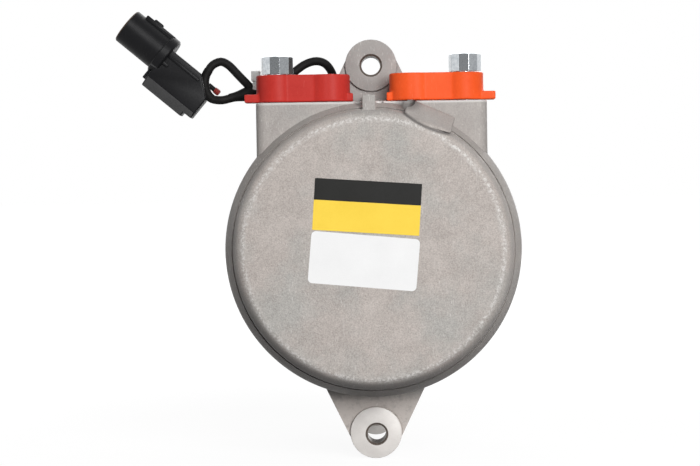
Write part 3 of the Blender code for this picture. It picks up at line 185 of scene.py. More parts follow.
def edit(obj):
    deselect()
    bpy.context.view_layer.objects.active = obj
    obj.select_set(True)
    bpy.ops.object.mode_set(mode="EDIT")
    bpy.ops.mesh.select_all(action="SELECT")


def settle(obj):
    """Leave edit mode with faces outward and the place in the mesh."""
    bpy.ops.mesh.select_all(action="SELECT")
    bpy.ops.mesh.normals_make_consistent(inside=False)
    bpy.ops.object.mode_set(mode="OBJECT")
    bpy.ops.object.transform_apply(location=True, rotation=True, scale=True)
    return obj


def pick(obj, kind, test):
    """In edit mode, select the vertices, edges or faces whose world middle passes the test."""
    bpy.ops.mesh.select_mode(type=kind)
    bpy.ops.mesh.select_all(action="DESELECT")
    shape = bmesh.from_edit_mesh(obj.data)
    world = obj.matrix_world
    if kind == "VERT":
        for vertex in shape.verts:
            vertex.select_set(test(world @ vertex.co))
    if kind == "EDGE":
        for edge in shape.edges:
            ends = [world @ vertex.co for vertex in edge.verts]
            edge.select_set(test(*ends))
    if kind == "FACE":
        for face in shape.faces:
            face.select_set(test(world @ face.calc_center_median(), face.normal))
    bmesh.update_edit_mesh(obj.data)


def apply(obj, modifier):
    bpy.context.view_layer.objects.active = obj
    bpy.ops.object.modifier_apply(modifier=modifier.name)


def rounded(obj, width, segments=2, angle=32):
    modifier = obj.modifiers.new("Round", "BEVEL")
    modifier.width = width
    modifier.segments = segments
    modifier.limit_method = "ANGLE"
    modifier.angle_limit = math.radians(angle)
    apply(obj, modifier)
    return obj


def combine(target, tool, operation):
    modifier = target.modifiers.new("Combine", "BOOLEAN")
    modifier.operation = operation
    modifier.solver = "MANIFOLD"
    modifier.object = tool
    apply(target, modifier)
    bpy.data.objects.remove(tool)
    return target


def unite(target, *tools):
    for tool in tools:
        combine(target, tool, "UNION")
    return target


def cut(target, *tools):
    for tool in tools:
        combine(target, tool, "DIFFERENCE")
    return target


def soften(obj, voxel, passes):
    """Turn joined shapes into one even skin, with a soft fillet in every corner."""
    modifier = obj.modifiers.new("Skin", "REMESH")
    modifier.mode = "VOXEL"
    modifier.voxel_size = voxel
    apply(obj, modifier)
    modifier = obj.modifiers.new("Relax", "SMOOTH")
    modifier.factor = 0.5
    modifier.iterations = passes
    apply(obj, modifier)
    return obj


def smooth(obj, angle):
    deselect()
    bpy.context.view_layer.objects.active = obj
    obj.select_set(True)
    bpy.ops.object.shade_smooth_by_angle(angle=math.radians(angle))
    return obj


def arc(radius, start, end, steps, centre):
    """Points on an arc, angles in degrees, both ends included."""
    points = []
    for i in range(steps + 1):
        angle = math.radians(start + (end - start) * i / steps)
        points.append((centre[0] + radius * math.cos(angle), centre[1] + radius * math.sin(angle)))
    return points


def added(name):
    """The object that was just added, named, with its place in the mesh."""
    obj = bpy.context.object
    obj.name = name
    bpy.ops.object.transform_apply(location=True, rotation=True, scale=True)
    return obj


def turned(name, profile, sides=96, ring=False, centre=(0.0, 0.0)):
    """A circle extruded and resized from point to (radius, station) point about a line along Y."""
    deselect()
    radius, station = profile[0]
    x, z = centre
    bpy.ops.mesh.primitive_circle_add(vertices=sides, radius=radius, location=(x, at(station), z),
                                      rotation=(math.pi / 2, 0, 0), enter_editmode=True)
    obj = bpy.context.object
    obj.name = name
    bpy.ops.mesh.select_all(action="SELECT")
    for next_radius, next_station in profile[1:]:
        step = next_station - station
        scale = next_radius / radius
        bpy.ops.mesh.extrude_region_move(TRANSFORM_OT_translate={"value": (0, step, 0)})
        bpy.ops.transform.resize(value=(scale, 1, scale), center_override=(x, at(next_station), z))
        radius, station = next_radius, next_station
    if ring:
        bpy.ops.mesh.select_all(action="DESELECT")
        bpy.ops.mesh.select_non_manifold()
        bpy.ops.mesh.bridge_edge_loops()
    else:
        bpy.ops.mesh.select_all(action="SELECT")
        bpy.ops.mesh.fill_holes(sides=0)
    return settle(obj)


def rod(name, radius, start, end, centre=(0.0, 0.0), sides=64):
    return turned(name, [(radius, start), (radius, end)], sides, centre=centre)


def box(name, low, high):
    """A box between two world corners."""
    deselect()
    middle = [(a + b) / 2 for a, b in zip(low, high)]
    size = [b - a for a, b in zip(low, high)]
    bpy.ops.mesh.primitive_cube_add(size=1, location=middle, scale=size)
    return added(name)


def raised(target, name, low, high, radius, segments=2):
    """A box with rounded edges, joined to a target."""
    return unite(target, rounded(box(name, low, high), radius, segments))


def cylinder(name, radius, length, middle, sides=64, turn=(0, 0, 0)):
    """A cylinder along Z, or turned from there."""
    deselect()
    bpy.ops.mesh.primitive_cylinder_add(vertices=sides, radius=radius, depth=length, location=middle,
                                        rotation=turn)
    return added(name)


def post(name, radius, bottom, top, x, station, sides=64):
    """An upright cylinder."""
    return cylinder(name, radius, top - bottom, (x, at(station), (bottom + top) / 2), sides)


def moved(obj, matrix):
    obj.data.transform(matrix)
    return obj


def copy_of(obj, name, matrix):
    twin = obj.copy()
    twin.data = obj.data.copy()
    twin.name = name
    bpy.context.scene.collection.objects.link(twin)
    return moved(twin, matrix)


def turn_about_shaft(angle):
    """A turn from +X toward +Z."""
    return Matrix.Rotation(-angle, 4, "Y")


def around(radius, count, i, lead=0.0):
    angle = 2 * math.pi * i / count + lead
    return radius * math.cos(angle), radius * math.sin(angle)


def paint(obj, material, test):
    """A second finish on the faces whose middle and normal pass the test."""
    obj.data.materials.append(material)
    index = len(obj.data.materials) - 1
    for face in obj.data.polygons:
        if test(face.center, face.normal):
            face.material_index = index


def dress(obj, slot, angle=None, body="housing", nodes=(), finish=None):
    """Smooth a piece below an angle, give it a finish and a body, and hide the imported parts that it stands
    for.

    The finish is the slot's own unless another is given.
    """
    if angle:
        smooth(obj, angle)
    obj.data.materials.clear()
    obj.data.materials.append(FINISHES[slot] if finish is None else finish)
    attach(obj, body)
    if nodes:
        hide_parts(*nodes)
    return obj


# Finishes

CAST_DARK = (0.285, 0.270, 0.260)
CAST_LIGHT = (0.385, 0.362, 0.345)
FACE_DARK = (0.345, 0.308, 0.285)
FACE_LIGHT = (0.545, 0.495, 0.462)
FACE_COOL_DARK = (0.310, 0.298, 0.280)
FACE_COOL_LIGHT = (0.495, 0.475, 0.450)
RUBBED = (0.66, 0.64, 0.62)
# Colour of painted shade in the core pocket, the swelling's crease and the lower rim band, and of blotches on
# the lower lug
SHADE_AND_BLOTCH = (0.085, 0.080, 0.078)


def new_group(name, inputs, outputs):
    group = bpy.data.node_groups.new(name, "ShaderNodeTree")
    for label, kind, value in inputs:
        socket = group.interface.new_socket(label, in_out="INPUT", socket_type=kind)
        socket.default_value = value
    for label, kind in outputs:
        group.interface.new_socket(label, in_out="OUTPUT", socket_type=kind)
    return group, group.nodes.new("NodeGroupInput"), group.nodes.new("NodeGroupOutput")


def noise(tree, vector, scale, detail=4.0, roughness=0.55):
    node = tree.nodes.new("ShaderNodeTexNoise")
    node.inputs["Detail"].default_value = detail
    node.inputs["Roughness"].default_value = roughness
    tree.links.new(vector, node.inputs["Vector"])
    if isinstance(scale, (int, float)):
        node.inputs["Scale"].default_value = scale
    else:
        tree.links.new(scale, node.inputs["Scale"])
    return node.outputs["Fac"]


def between(tree, value, low, high, to_low=0.0, to_high=1.0):
    node = tree.nodes.new("ShaderNodeMapRange")
    tree.links.new(value, node.inputs["Value"])
    for label, number in (("From Min", low), ("From Max", high), ("To Min", to_low), ("To Max", to_high)):
        node.inputs[label].default_value = number
    return node.outputs["Result"]


def maths(tree, operation, first, second=None):
    node = tree.nodes.new("ShaderNodeMath")
    node.operation = operation
    for socket, value in zip(node.inputs, (first, second)):
        if isinstance(value, (int, float)):
            socket.default_value = value
        elif value is not None:
            tree.links.new(value, socket)
    return node.outputs["Value"]


def product(tree, *masks):
    result = masks[0]
    for mask in masks[1:]:
        result = maths(tree, "MULTIPLY", result, mask)
    return result


def largest(tree, *masks):
    result = masks[0]
    for mask in masks[1:]:
        result = maths(tree, "MAXIMUM", result, mask)
    return result


def blend_colours(tree, factor, first, second):
    node = tree.nodes.new("ShaderNodeMix")
    node.data_type = "RGBA"
    tree.links.new(factor, node.inputs["Factor"])
    for socket, value in ((node.inputs[6], first), (node.inputs[7], second)):
        if isinstance(value, tuple):
            socket.default_value = (*value, 1.0)
        else:
            tree.links.new(value, socket)
    return node.outputs[2]


def object_place(tree):
    return tree.nodes.new("ShaderNodeTexCoord").outputs["Object"]


def make_grain_group():
    """Cloudy tone, fine speckle and height of a cast or moulded skin."""
    inputs = [("Cloud size", "NodeSocketFloat", 60.0), ("Speckle size", "NodeSocketFloat", 900.0)]
    outputs = [("Cloud", "NodeSocketFloat"), ("Speckle", "NodeSocketFloat"), ("Height", "NodeSocketFloat")]
    group, given, result = new_group("skin_grain", inputs, outputs)
    place = object_place(group)
    cloud = noise(group, place, given.outputs["Cloud size"], 5.0, 0.6)
    speckle = noise(group, place, given.outputs["Speckle size"], 3.0, 0.65)
    group.links.new(between(group, cloud, 0.3, 0.7), result.inputs["Cloud"])
    group.links.new(between(group, speckle, 0.3, 0.7), result.inputs["Speckle"])
    group.links.new(maths(group, "ADD", cloud, speckle), result.inputs["Height"])
    return group


def make_scratch_group():
    """Short thin scuffs in several directions, gathered in patches, and a few long faint ones."""
    inputs = [("Amount", "NodeSocketFloat", 0.5)]
    group, given, result = new_group("handling_scuffs", inputs, [("Mask", "NodeSocketFloat")])
    place = object_place(group)
    short = []
    for i, angle in enumerate((0.3, 1.1, 1.9, 2.7)):
        short.append(scuff_lines(group, place, i, angle, 300.0, 0.70, 0.76))
    long = []
    for i, angle in enumerate((1.15, 1.9)):
        long.append(scuff_lines(group, place, 9 + i, angle, 55.0, 0.74, 0.80))
    patches = between(group, noise(group, place, 42.0, 2.0), 0.42, 0.62)
    mask = maths(group, "ADD", product(group, largest(group, *short), patches),
                 maths(group, "MULTIPLY", largest(group, *long), 0.6))
    group.links.new(maths(group, "MULTIPLY", mask, given.outputs["Amount"]), result.inputs["Mask"])
    return group


def scuff_lines(group, place, i, angle, along, start, end):
    """Noise drawn out along one direction of the rear face and cut to its peaks."""
    mapping = group.nodes.new("ShaderNodeMapping")
    mapping.inputs["Location"].default_value = (7.0 * i, 3.0 * i, 5.0 * i)
    mapping.inputs["Rotation"].default_value = (0.0, angle, 0.0)
    mapping.inputs["Scale"].default_value = (2300.0, along, along)
    group.links.new(place, mapping.inputs["Vector"])
    return between(group, noise(group, mapping.outputs["Vector"], 1.0, 1.0), start, end)


GRAIN = make_grain_group()
SCRATCHES = make_scratch_group()


def use(tree, group, **values):
    node = tree.nodes.new("ShaderNodeGroup")
    node.node_tree = group
    for label, value in values.items():
        node.inputs[label.replace("_", " ")].default_value = value
    return node


def surface(name, dark, light, rough, metallic=0.0, cloud=160.0, speckle=1500.0, bump=0.1, depth=0.0002,
            scuffs=0.2, scuff_colour=(0.7, 0.69, 0.67), specular=0.5):
    """A finish whose tone drifts between two colours, with grain and scuffs."""
    material = bpy.data.materials.new(name)
    material.use_nodes = True
    tree = material.node_tree
    shader = tree.nodes["Principled BSDF"]
    grain = use(tree, GRAIN, Cloud_size=cloud, Speckle_size=speckle)
    tone = maths(tree, "ADD", maths(tree, "MULTIPLY", grain.outputs["Cloud"], 0.65),
                 maths(tree, "MULTIPLY", grain.outputs["Speckle"], 0.35))
    colour = blend_colours(tree, tone, dark, light)
    if scuffs:
        scratch = use(tree, SCRATCHES, Amount=scuffs)
        colour = blend_colours(tree, scratch.outputs["Mask"], colour, scuff_colour)
    tree.links.new(colour, shader.inputs["Base Color"])
    tree.links.new(between(tree, tone, 0.0, 1.0, rough[0], rough[1]), shader.inputs["Roughness"])
    shader.inputs["Metallic"].default_value = metallic
    shader.inputs["Specular IOR Level"].default_value = specular
    relief = tree.nodes.new("ShaderNodeBump")
    relief.inputs["Strength"].default_value = bump
    relief.inputs["Distance"].default_value = depth
    tree.links.new(grain.outputs["Height"], relief.inputs["Height"])
    tree.links.new(relief.outputs["Normal"], shader.inputs["Normal"])
    return material


def station_place(tree):
    """X, station and height of a point, as values."""
    parts = tree.nodes.new("ShaderNodeSeparateXYZ")
    tree.links.new(object_place(tree), parts.inputs[0])
    x, y, z = parts.outputs
    return x, maths(tree, "SUBTRACT", y, REAR), z


def radius_about(tree, x, z, centre=(0.0, 0.0)):
    """Distance from a line along Y."""
    across = maths(tree, "SUBTRACT", x, centre[0])
    above = maths(tree, "SUBTRACT", z, centre[1])
    return maths(tree, "SQRT", maths(tree, "ADD", maths(tree, "MULTIPLY", across, across),
                                     maths(tree, "MULTIPLY", above, above)))


def cast_skin():
    """Raw casting: a blasted pale rear face with a rubbed rim, darker skin elsewhere, painted light that
    makes the lower lugs pale, and painted shade in the core pocket, the swelling's crease and the lower-left
    rim band.
    """
    material = surface("cast_skin", CAST_DARK, CAST_LIGHT, (0.66, 0.52), 0.04, cloud=95.0, speckle=1500.0,
                       bump=0.4, depth=0.0003, scuffs=0.0, specular=0.25)
    tree = material.node_tree
    shader = tree.nodes["Principled BSDF"]
    colour = shader.inputs["Base Color"].links[0].from_socket
    place = object_place(tree)
    x, station, height = station_place(tree)
    radius = radius_about(tree, x, height)
    band = between(tree, station, 0.0150, 0.0110, 0.0, 0.45)
    face = largest(tree, band, between(tree, station, 0.0026, 0.0010))
    colour = blend_colours(tree, face, colour, blasted_face(tree, place))
    scratch = use(tree, SCRATCHES, Amount=0.8)
    colour = blend_colours(tree, scratch.outputs["Mask"], colour, RUBBED)
    rim = product(tree, between(tree, radius, 0.0505, 0.0522), between(tree, radius, 0.0536, 0.0526),
                  between(tree, station, 0.006, 0.004))
    broken = between(tree, noise(tree, place, 900.0, 4.0, 0.8), 0.47, 0.58)
    colour = blend_colours(tree, product(tree, rim, broken), colour, RUBBED)
    # Painted light: below the rim the skin turns to the pale face colour, standing in for light on the lower
    # lugs
    foot = between(tree, height, -0.0595, -0.0640, 0.0, 0.9)
    colour = blend_colours(tree, foot, colour, FACE_LIGHT)
    pad = product(tree, between(tree, height, BLOCK_TOP - 0.0012, BLOCK_TOP - 0.0006),
                  between(tree, station, 0.0100, 0.0108),
                  between(tree, height, BLOCK_TOP + 0.0010, BLOCK_TOP + 0.0004))
    colour = blend_colours(tree, maths(tree, "MULTIPLY", pad, 0.8), colour, RUBBED)
    fleck = between(tree, noise(tree, place, 1000.0, 1.0, 0.5), 0.71, 0.77)
    colour = blend_colours(tree, maths(tree, "MULTIPLY", fleck, 0.45), colour, RUBBED)
    # Painted shade in the core pocket, along the swelling's crease and on the lower-left rim band, with dark
    # blotches on the lower lug
    colour = blend_colours(tree, shade_and_blotches(tree, place, x, station, height), colour, SHADE_AND_BLOTCH)
    tree.links.new(colour, shader.inputs["Base Color"])
    return material


def shade_and_blotches(tree, place, x, station, height):
    """Mask of painted shade in the core pocket, along the swelling's crease and on the lower-left side of the
    rim band, and of dark blotches on the lower lug.
    """
    # Painted shade in the core pocket
    reach = tree.nodes.new("ShaderNodeVectorMath")
    reach.operation = "DISTANCE"
    tree.links.new(place, reach.inputs[0])
    reach.inputs[1].default_value = (CORE_POCKET[0], at(CORE_POCKET[1]), CORE_POCKET[2])
    pocket = between(tree, reach.outputs["Value"], 0.0064, 0.0030, 0.0, 0.70)
    # Painted shade along the swelling's crease
    crease_radius = radius_about(tree, x, height, CREASE_CENTRE)
    off_crease = maths(tree, "ABSOLUTE", maths(tree, "SUBTRACT", crease_radius, CREASE_ARC))
    crease = product(tree, between(tree, off_crease, 0.0010, 0.0002),
                     between(tree, x, 0.0330, 0.0290, 0.0, 0.75), between(tree, height, 0.0562, 0.0545),
                     between(tree, station, 0.0080, 0.0060))
    # Painted shade on the rim band, darkest on its lower-left side, away from the key lamp
    radius = radius_about(tree, x, height)
    below = maths(tree, "ADD", maths(tree, "MULTIPLY", x, -0.30), maths(tree, "MULTIPLY", height, -0.95))
    rim = product(tree, between(tree, radius, 0.0518, 0.0543),
                  between(tree, radius, 0.0574, 0.0562, 0.90, 1.0), between(tree, radius, 0.0606, 0.0600),
                  between(tree, below, 0.002, 0.048, 0.0, 0.74))
    # Dark blotches on the lower lug
    spots = between(tree, noise(tree, place, 330.0, 5.0, 0.7), 0.50, 0.68, 0.0, 0.30)
    blotch = product(tree, spots, between(tree, height, -0.056, -0.060))
    return largest(tree, pocket, crease, rim, blotch)


def blasted_face(tree, place):
    """Pale mottled grey of the rear face, warm in some places and cool in others."""
    mottle = between(tree, noise(tree, place, 120.0, 5.0, 0.65), 0.30, 0.70, -0.45, 0.45)
    speckle = between(tree, noise(tree, place, 1900.0, 2.0, 0.8), 0.28, 0.72, -1.1, 1.1)
    tone = between(tree, maths(tree, "ADD", mottle, speckle), -1.0, 1.0)
    warm = blend_colours(tree, tone, FACE_DARK, FACE_LIGHT)
    cool = blend_colours(tree, tone, FACE_COOL_DARK, FACE_COOL_LIGHT)
    patches = between(tree, noise(tree, place, 38.0, 4.0, 0.6), 0.46, 0.66)
    return blend_colours(tree, patches, warm, cool)


FINISHES = {
    "cast_aluminium": cast_skin(),
    "machined_aluminium": surface("milled_face", (0.62, 0.585, 0.56), (0.76, 0.73, 0.70), (0.45, 0.36), 0.08,
                                  speckle=2500.0, bump=0.08, specular=0.3),
    "bearing_steel": surface("ground_steel", (0.28, 0.28, 0.30), (0.40, 0.40, 0.42), (0.36, 0.24), 1.0,
                             cloud=90.0, speckle=2600.0, bump=0.06, scuffs=0.3),
    "zinc_plated_steel": surface("bright_zinc", (0.43, 0.46, 0.49), (0.72, 0.75, 0.77), (0.18, 0.10), 1.0,
                                 cloud=700.0, speckle=2400.0, bump=0.01, scuffs=0.1),
    "black_painted_steel": surface("black_enamel", (0.010, 0.010, 0.011), (0.020, 0.020, 0.022), (0.5, 0.36),
                                   cloud=80.0, speckle=1600.0, bump=0.15, scuffs=0.25,
                                   scuff_colour=(0.12, 0.12, 0.12), specular=0.35),
    "black_plastic": surface("black_moulding", (0.005, 0.005, 0.006), (0.010, 0.010, 0.011), (0.46, 0.34),
                             cloud=110.0, speckle=1800.0, bump=0.12, scuffs=0.3,
                             scuff_colour=(0.04, 0.04, 0.04), specular=0.12),
    "black_rubber": surface("lead_rubber", (0.004, 0.004, 0.004), (0.010, 0.009, 0.009), (0.7, 0.52),
                            speckle=2400.0, bump=0.2, scuff_colour=(0.03, 0.03, 0.03), specular=0.12),
    "red_plastic": surface("red_moulding", (0.44, 0.024, 0.018), (0.54, 0.040, 0.031), (0.50, 0.40),
                           cloud=90.0, scuff_colour=(0.64, 0.14, 0.11), specular=0.12),
    "orange_plastic": surface("orange_moulding", (0.84, 0.088, 0.016), (0.95, 0.125, 0.028), (0.50, 0.40),
                              cloud=90.0, scuff_colour=(0.95, 0.28, 0.12), specular=0.12),
    "white_plastic": surface("tie_nylon", (0.58, 0.59, 0.58), (0.70, 0.71, 0.70), (0.48, 0.36),
                             cloud=140.0, bump=0.08, scuffs=0.0),
    "copper_winding": surface("enamelled_wire", (0.35, 0.12, 0.05), (0.55, 0.22, 0.10), (0.4, 0.28), 0.9,
                              cloud=300.0, speckle=2600.0, bump=0.3, scuffs=0.0),
}

# Moulding for the plug's chamfer strip: real scuffs, and a pale tone that is a painted reflection of the
# bright floor
SCUFFED_SHEEN_MOULDING = surface("scuffed_sheen_moulding", (0.060, 0.060, 0.062), (0.100, 0.099, 0.100), (0.5, 0.4),
                           bump=0.15, scuffs=0.5, scuff_colour=(0.10, 0.10, 0.10), specular=0.2)
BROWN_MOULDING = surface("brown_moulding", (0.045, 0.026, 0.016), (0.085, 0.050, 0.030), (0.55, 0.45),
                         scuff_colour=(0.12, 0.09, 0.07), specular=0.2)
OILY_METAL = surface("oily_bore", (0.085, 0.070, 0.060), (0.17, 0.135, 0.11), (0.5, 0.35), 0.2,
                     cloud=300.0, speckle=1800.0, bump=0.15)
RED_RUBBER = surface("seal_rubber", (0.16, 0.012, 0.010), (0.24, 0.022, 0.018), (0.6, 0.45),
                     cloud=200.0, speckle=2200.0, scuffs=0.0)


def paper(name, dark, light, rough):
    return surface(name, dark, light, rough, cloud=70.0, speckle=2500.0, bump=0.04, scuffs=0.0, specular=0.12)


WHITE_PAPER = paper("white_paper", (0.84, 0.84, 0.84), (0.90, 0.90, 0.90), (0.5, 0.42))
YELLOW_PAPER = paper("yellow_paper", (0.90, 0.62, 0.060), (0.98, 0.70, 0.085), (0.45, 0.38))
DARK_PAPER = paper("dark_paper", (0.013, 0.013, 0.012), (0.020, 0.020, 0.019), (0.45, 0.38))


def finish_packed_parts():
    """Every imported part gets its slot's finish."""
    for part in frame["record"]["subparts"]:
        obj = NODES[part["node"]]
        obj.data.materials.clear()
        obj.data.materials.append(FINISHES[part["material_slot"]])


# Camera, floor and light

def make_camera():
    """A camera that has the shaft's vanishing point and the rear face where the photograph has them."""
    right = Vector((math.cos(ROLL), 0.0, -math.sin(ROLL)))
    up = Vector((math.sin(ROLL), 0.0, math.cos(ROLL)))
    across = (SHAFT_VANISHES_AT[0] - IMAGE[0] / 2) / FOCAL_PIXELS
    above = (IMAGE[1] / 2 - SHAFT_VANISHES_AT[1]) / FOCAL_PIXELS
    forward = (Vector((0, 1, 0)) - across * right - above * up).normalized()
    right = (right - right.dot(forward) * forward).normalized()
    up = right.cross(forward)
    across = (FACE_CENTRE_AT[0] - IMAGE[0] / 2) / FOCAL_PIXELS
    above = (IMAGE[1] / 2 - FACE_CENTRE_AT[1]) / FOCAL_PIXELS
    place = Vector((0, at(FACE_STATION), 0)) - DISTANCE * (forward + across * right + above * up)
    data = bpy.data.cameras.new("camera")
    data.sensor_width = SENSOR
    data.lens = FOCAL_PIXELS * SENSOR / IMAGE[0]
    data.clip_start = 0.01
    data.clip_end = 100.0
    camera = bpy.data.objects.new("camera", data)
    bpy.context.scene.collection.objects.link(camera)
    turn = Matrix((right, up, -forward)).transposed().to_4x4()
    camera.matrix_world = Matrix.Translation(place) @ turn
    bpy.context.scene.camera = camera


def seen_rays(tree):
    """1 for rays from the camera, from mirrors and through glass."""
    rays = tree.nodes.new("ShaderNodeLightPath").outputs
    return largest(tree, rays["Is Camera Ray"], rays["Is Glossy Ray"], rays["Is Transmission Ray"])


FLOOR_COLOUR = (0.12, 0.12, 0.12, 1.0)
FLOOR_GLOW = (0.93, 1.0)
FLOOR_GLOW_REACH = (0.16, 0.55)
WORLD_LEVEL = 0.10
ROOM_LEVEL = 0.26
ROOM_FACES = (-0.76, -0.10)


def make_floor():
    deselect()
    bpy.ops.mesh.primitive_plane_add(size=30, location=(0, 0, -LOWER_LUG - LUG_RADIUS))
    floor = bpy.context.object
    floor.name = "floor"
    material = bpy.data.materials.new("pale_floor")
    material.use_nodes = True
    tree = material.node_tree
    tree.nodes.clear()
    diffuse = tree.nodes.new("ShaderNodeBsdfDiffuse")
    diffuse.inputs["Color"].default_value = FLOOR_COLOUR
    glow = tree.nodes.new("ShaderNodeEmission")
    reach = tree.nodes.new("ShaderNodeVectorMath")
    reach.operation = "LENGTH"
    tree.links.new(object_place(tree), reach.inputs[0])
    level = between(tree, reach.outputs["Value"], *FLOOR_GLOW_REACH, *FLOOR_GLOW)
    tree.links.new(maths(tree, "MULTIPLY", seen_rays(tree), level), glow.inputs["Strength"])
    both = tree.nodes.new("ShaderNodeAddShader")
    tree.links.new(diffuse.outputs[0], both.inputs[0])
    tree.links.new(glow.outputs[0], both.inputs[1])
    tree.links.new(both.outputs[0], tree.nodes.new("ShaderNodeOutputMaterial").inputs["Surface"])
    floor.data.materials.append(material)


def make_world():
    """White behind the object and in its mirrors, and the darker room behind the camera in mirrors only."""
    world = bpy.data.worlds.new("studio")
    bpy.context.scene.world = world
    world.use_nodes = True
    tree = world.node_tree
    background = tree.nodes["Background"]
    background.inputs["Color"].default_value = (1.0, 1.0, 1.0, 1.0)
    rays = tree.nodes.new("ShaderNodeLightPath").outputs
    parts = tree.nodes.new("ShaderNodeSeparateXYZ")
    tree.links.new(tree.nodes.new("ShaderNodeTexCoord").outputs["Generated"], parts.inputs[0])
    room = between(tree, parts.outputs["Y"], *ROOM_FACES, ROOM_LEVEL, 1.0)
    mirrored = product(tree, rays["Is Glossy Ray"], room)
    level = largest(tree, rays["Is Camera Ray"], rays["Is Transmission Ray"], mirrored, WORLD_LEVEL)
    tree.links.new(level, background.inputs["Strength"])


def area_light(name, place, size, power):
    """A round lamp that faces the origin."""
    data = bpy.data.lights.new(name, "AREA")
    data.shape = "DISK"
    data.size = size
    data.energy = power
    light = bpy.data.objects.new(name, data)
    bpy.context.scene.collection.objects.link(light)
    light.location = place
    light.rotation_euler = (-Vector(place)).to_track_quat("-Z", "Y").to_euler()


def make_light():
    area_light("key", (0.56, -1.95, 0.75), 1.3, 37.0)
    area_light("front", (0.72, -1.87, 0.10), 0.5, 9.5)
    area_light("fill", (-1.7, -0.95, 0.20), 1.0, 3.0)
    area_light("back", (0.4, 2.0, 0.9), 2.6, 30.0)


# Castings

def lug(name, side, height, stations, foot, radius=LUG_RADIUS, bore_shift=(0.0, 0.0)):
    """A web that widens toward the body, a turned boss with a tool groove round it, and a bolt hole.

    Side is 1 above the shaft and -1 below it.
    """
    start, end = stations
    centre = (0, side * height)
    tip = radius - LUG_WEB_INSET
    half = tip / math.cos(LUG_WEB_ANGLE)
    low, high = sorted((side * foot, side * height))
    web = box(name, (-half, at(start + LUG_STEP), low), (half, at(end - LUG_STEP), high))
    edit(web)
    pick(web, "VERT", lambda place: abs(place.z - side * foot) < NEAR)
    spread = 1 + abs(height - foot) * math.tan(LUG_WEB_ANGLE) / half
    bpy.ops.transform.resize(value=(spread, 1, 1), center_override=(0, 0, side * foot))
    pick(web, "VERT", lambda place: abs(place.z - side * height) < NEAR)
    bpy.ops.transform.translate(value=(0, 0, side * tip * math.sin(LUG_WEB_ANGLE)))
    bpy.ops.transform.resize(value=(math.cos(LUG_WEB_ANGLE)**2, 1, 1), center_override=(0, 0, 0))
    settle(web)
    unite(web, rod(name + "_tip", tip, start + LUG_STEP, end - LUG_STEP, centre, 96))
    rounded(web, 0.0007, 3, 60)
    inner, outer = radius - LUG_GROOVE_INSIDE, radius + LUG_GROOVE_OUTSIDE
    for face, inward in ((start, 1), (end, -1)):
        bottom = face + inward * (LUG_STEP + LUG_GROOVE_DEPTH)
        near, far = sorted((face - inward * OVERLAP, bottom))
        groove = [(inner, near), (outer, near), (outer, far), (inner, far)]
        cut(web, turned("groove", groove, 96, ring=True, centre=centre))
    boss = rod(name + "_boss", radius, start, end, centre, 96)
    unite(web, rounded(boss, 0.0003, 2, 60))
    rise = LUG_CHAMFER - LUG_HOLE
    mouth = LUG_CHAMFER + OVERLAP
    profile = [(mouth, start - OVERLAP), (LUG_HOLE, start + rise)]
    profile += [(LUG_HOLE, end - rise), (mouth, end + OVERLAP)]
    place = (bore_shift[0], side * height + bore_shift[1])
    return cut(web, turned(name + "_bore", profile, 64, centre=place))


def passage_swelling():
    """Soft lump of the casting over the outlet passage, sloping back from the rear face's edge."""
    lump = box("passage_swelling", (-0.0102, at(0.0002), -0.0046), (0.0102, at(0.0150), 0.0048))
    edit(lump)
    pick(lump, "VERT", lambda place: place.z > 0 and place.y < at(0.008))
    bpy.ops.transform.translate(value=(0, 0.0082, 0))
    pick(lump, "VERT", lambda place: place.z > 0 and place.x > 0)
    bpy.ops.transform.translate(value=(0, 0, -0.0022))
    settle(lump)
    turn = Matrix.Rotation(SWELLING_TILT, 4, "Y")
    moved(lump, Matrix.Translation((SWELLING[0], 0, SWELLING[1])) @ turn)
    return soften(lump, 0.0005, 22)


def swelling_crease():
    """Thin groove where the swelling meets the rounded edge of the rear face."""
    route = [(x, at(station), z) for x, station, z in SWELLING_CREASE]
    return to_mesh(swept("swelling_crease", smooth_route(route, 0.0008), CREASE_RADIUS))


def core_pocket():
    """Round hollow between the swelling and the right port's block."""
    x, station, z = CORE_POCKET
    deselect()
    place = (x, at(station), z)
    bpy.ops.mesh.primitive_uv_sphere_add(segments=48, ring_count=24, radius=0.0034, location=place)
    bpy.context.object.scale = (0.85, 1.1, 1.2)
    return added("core_pocket")


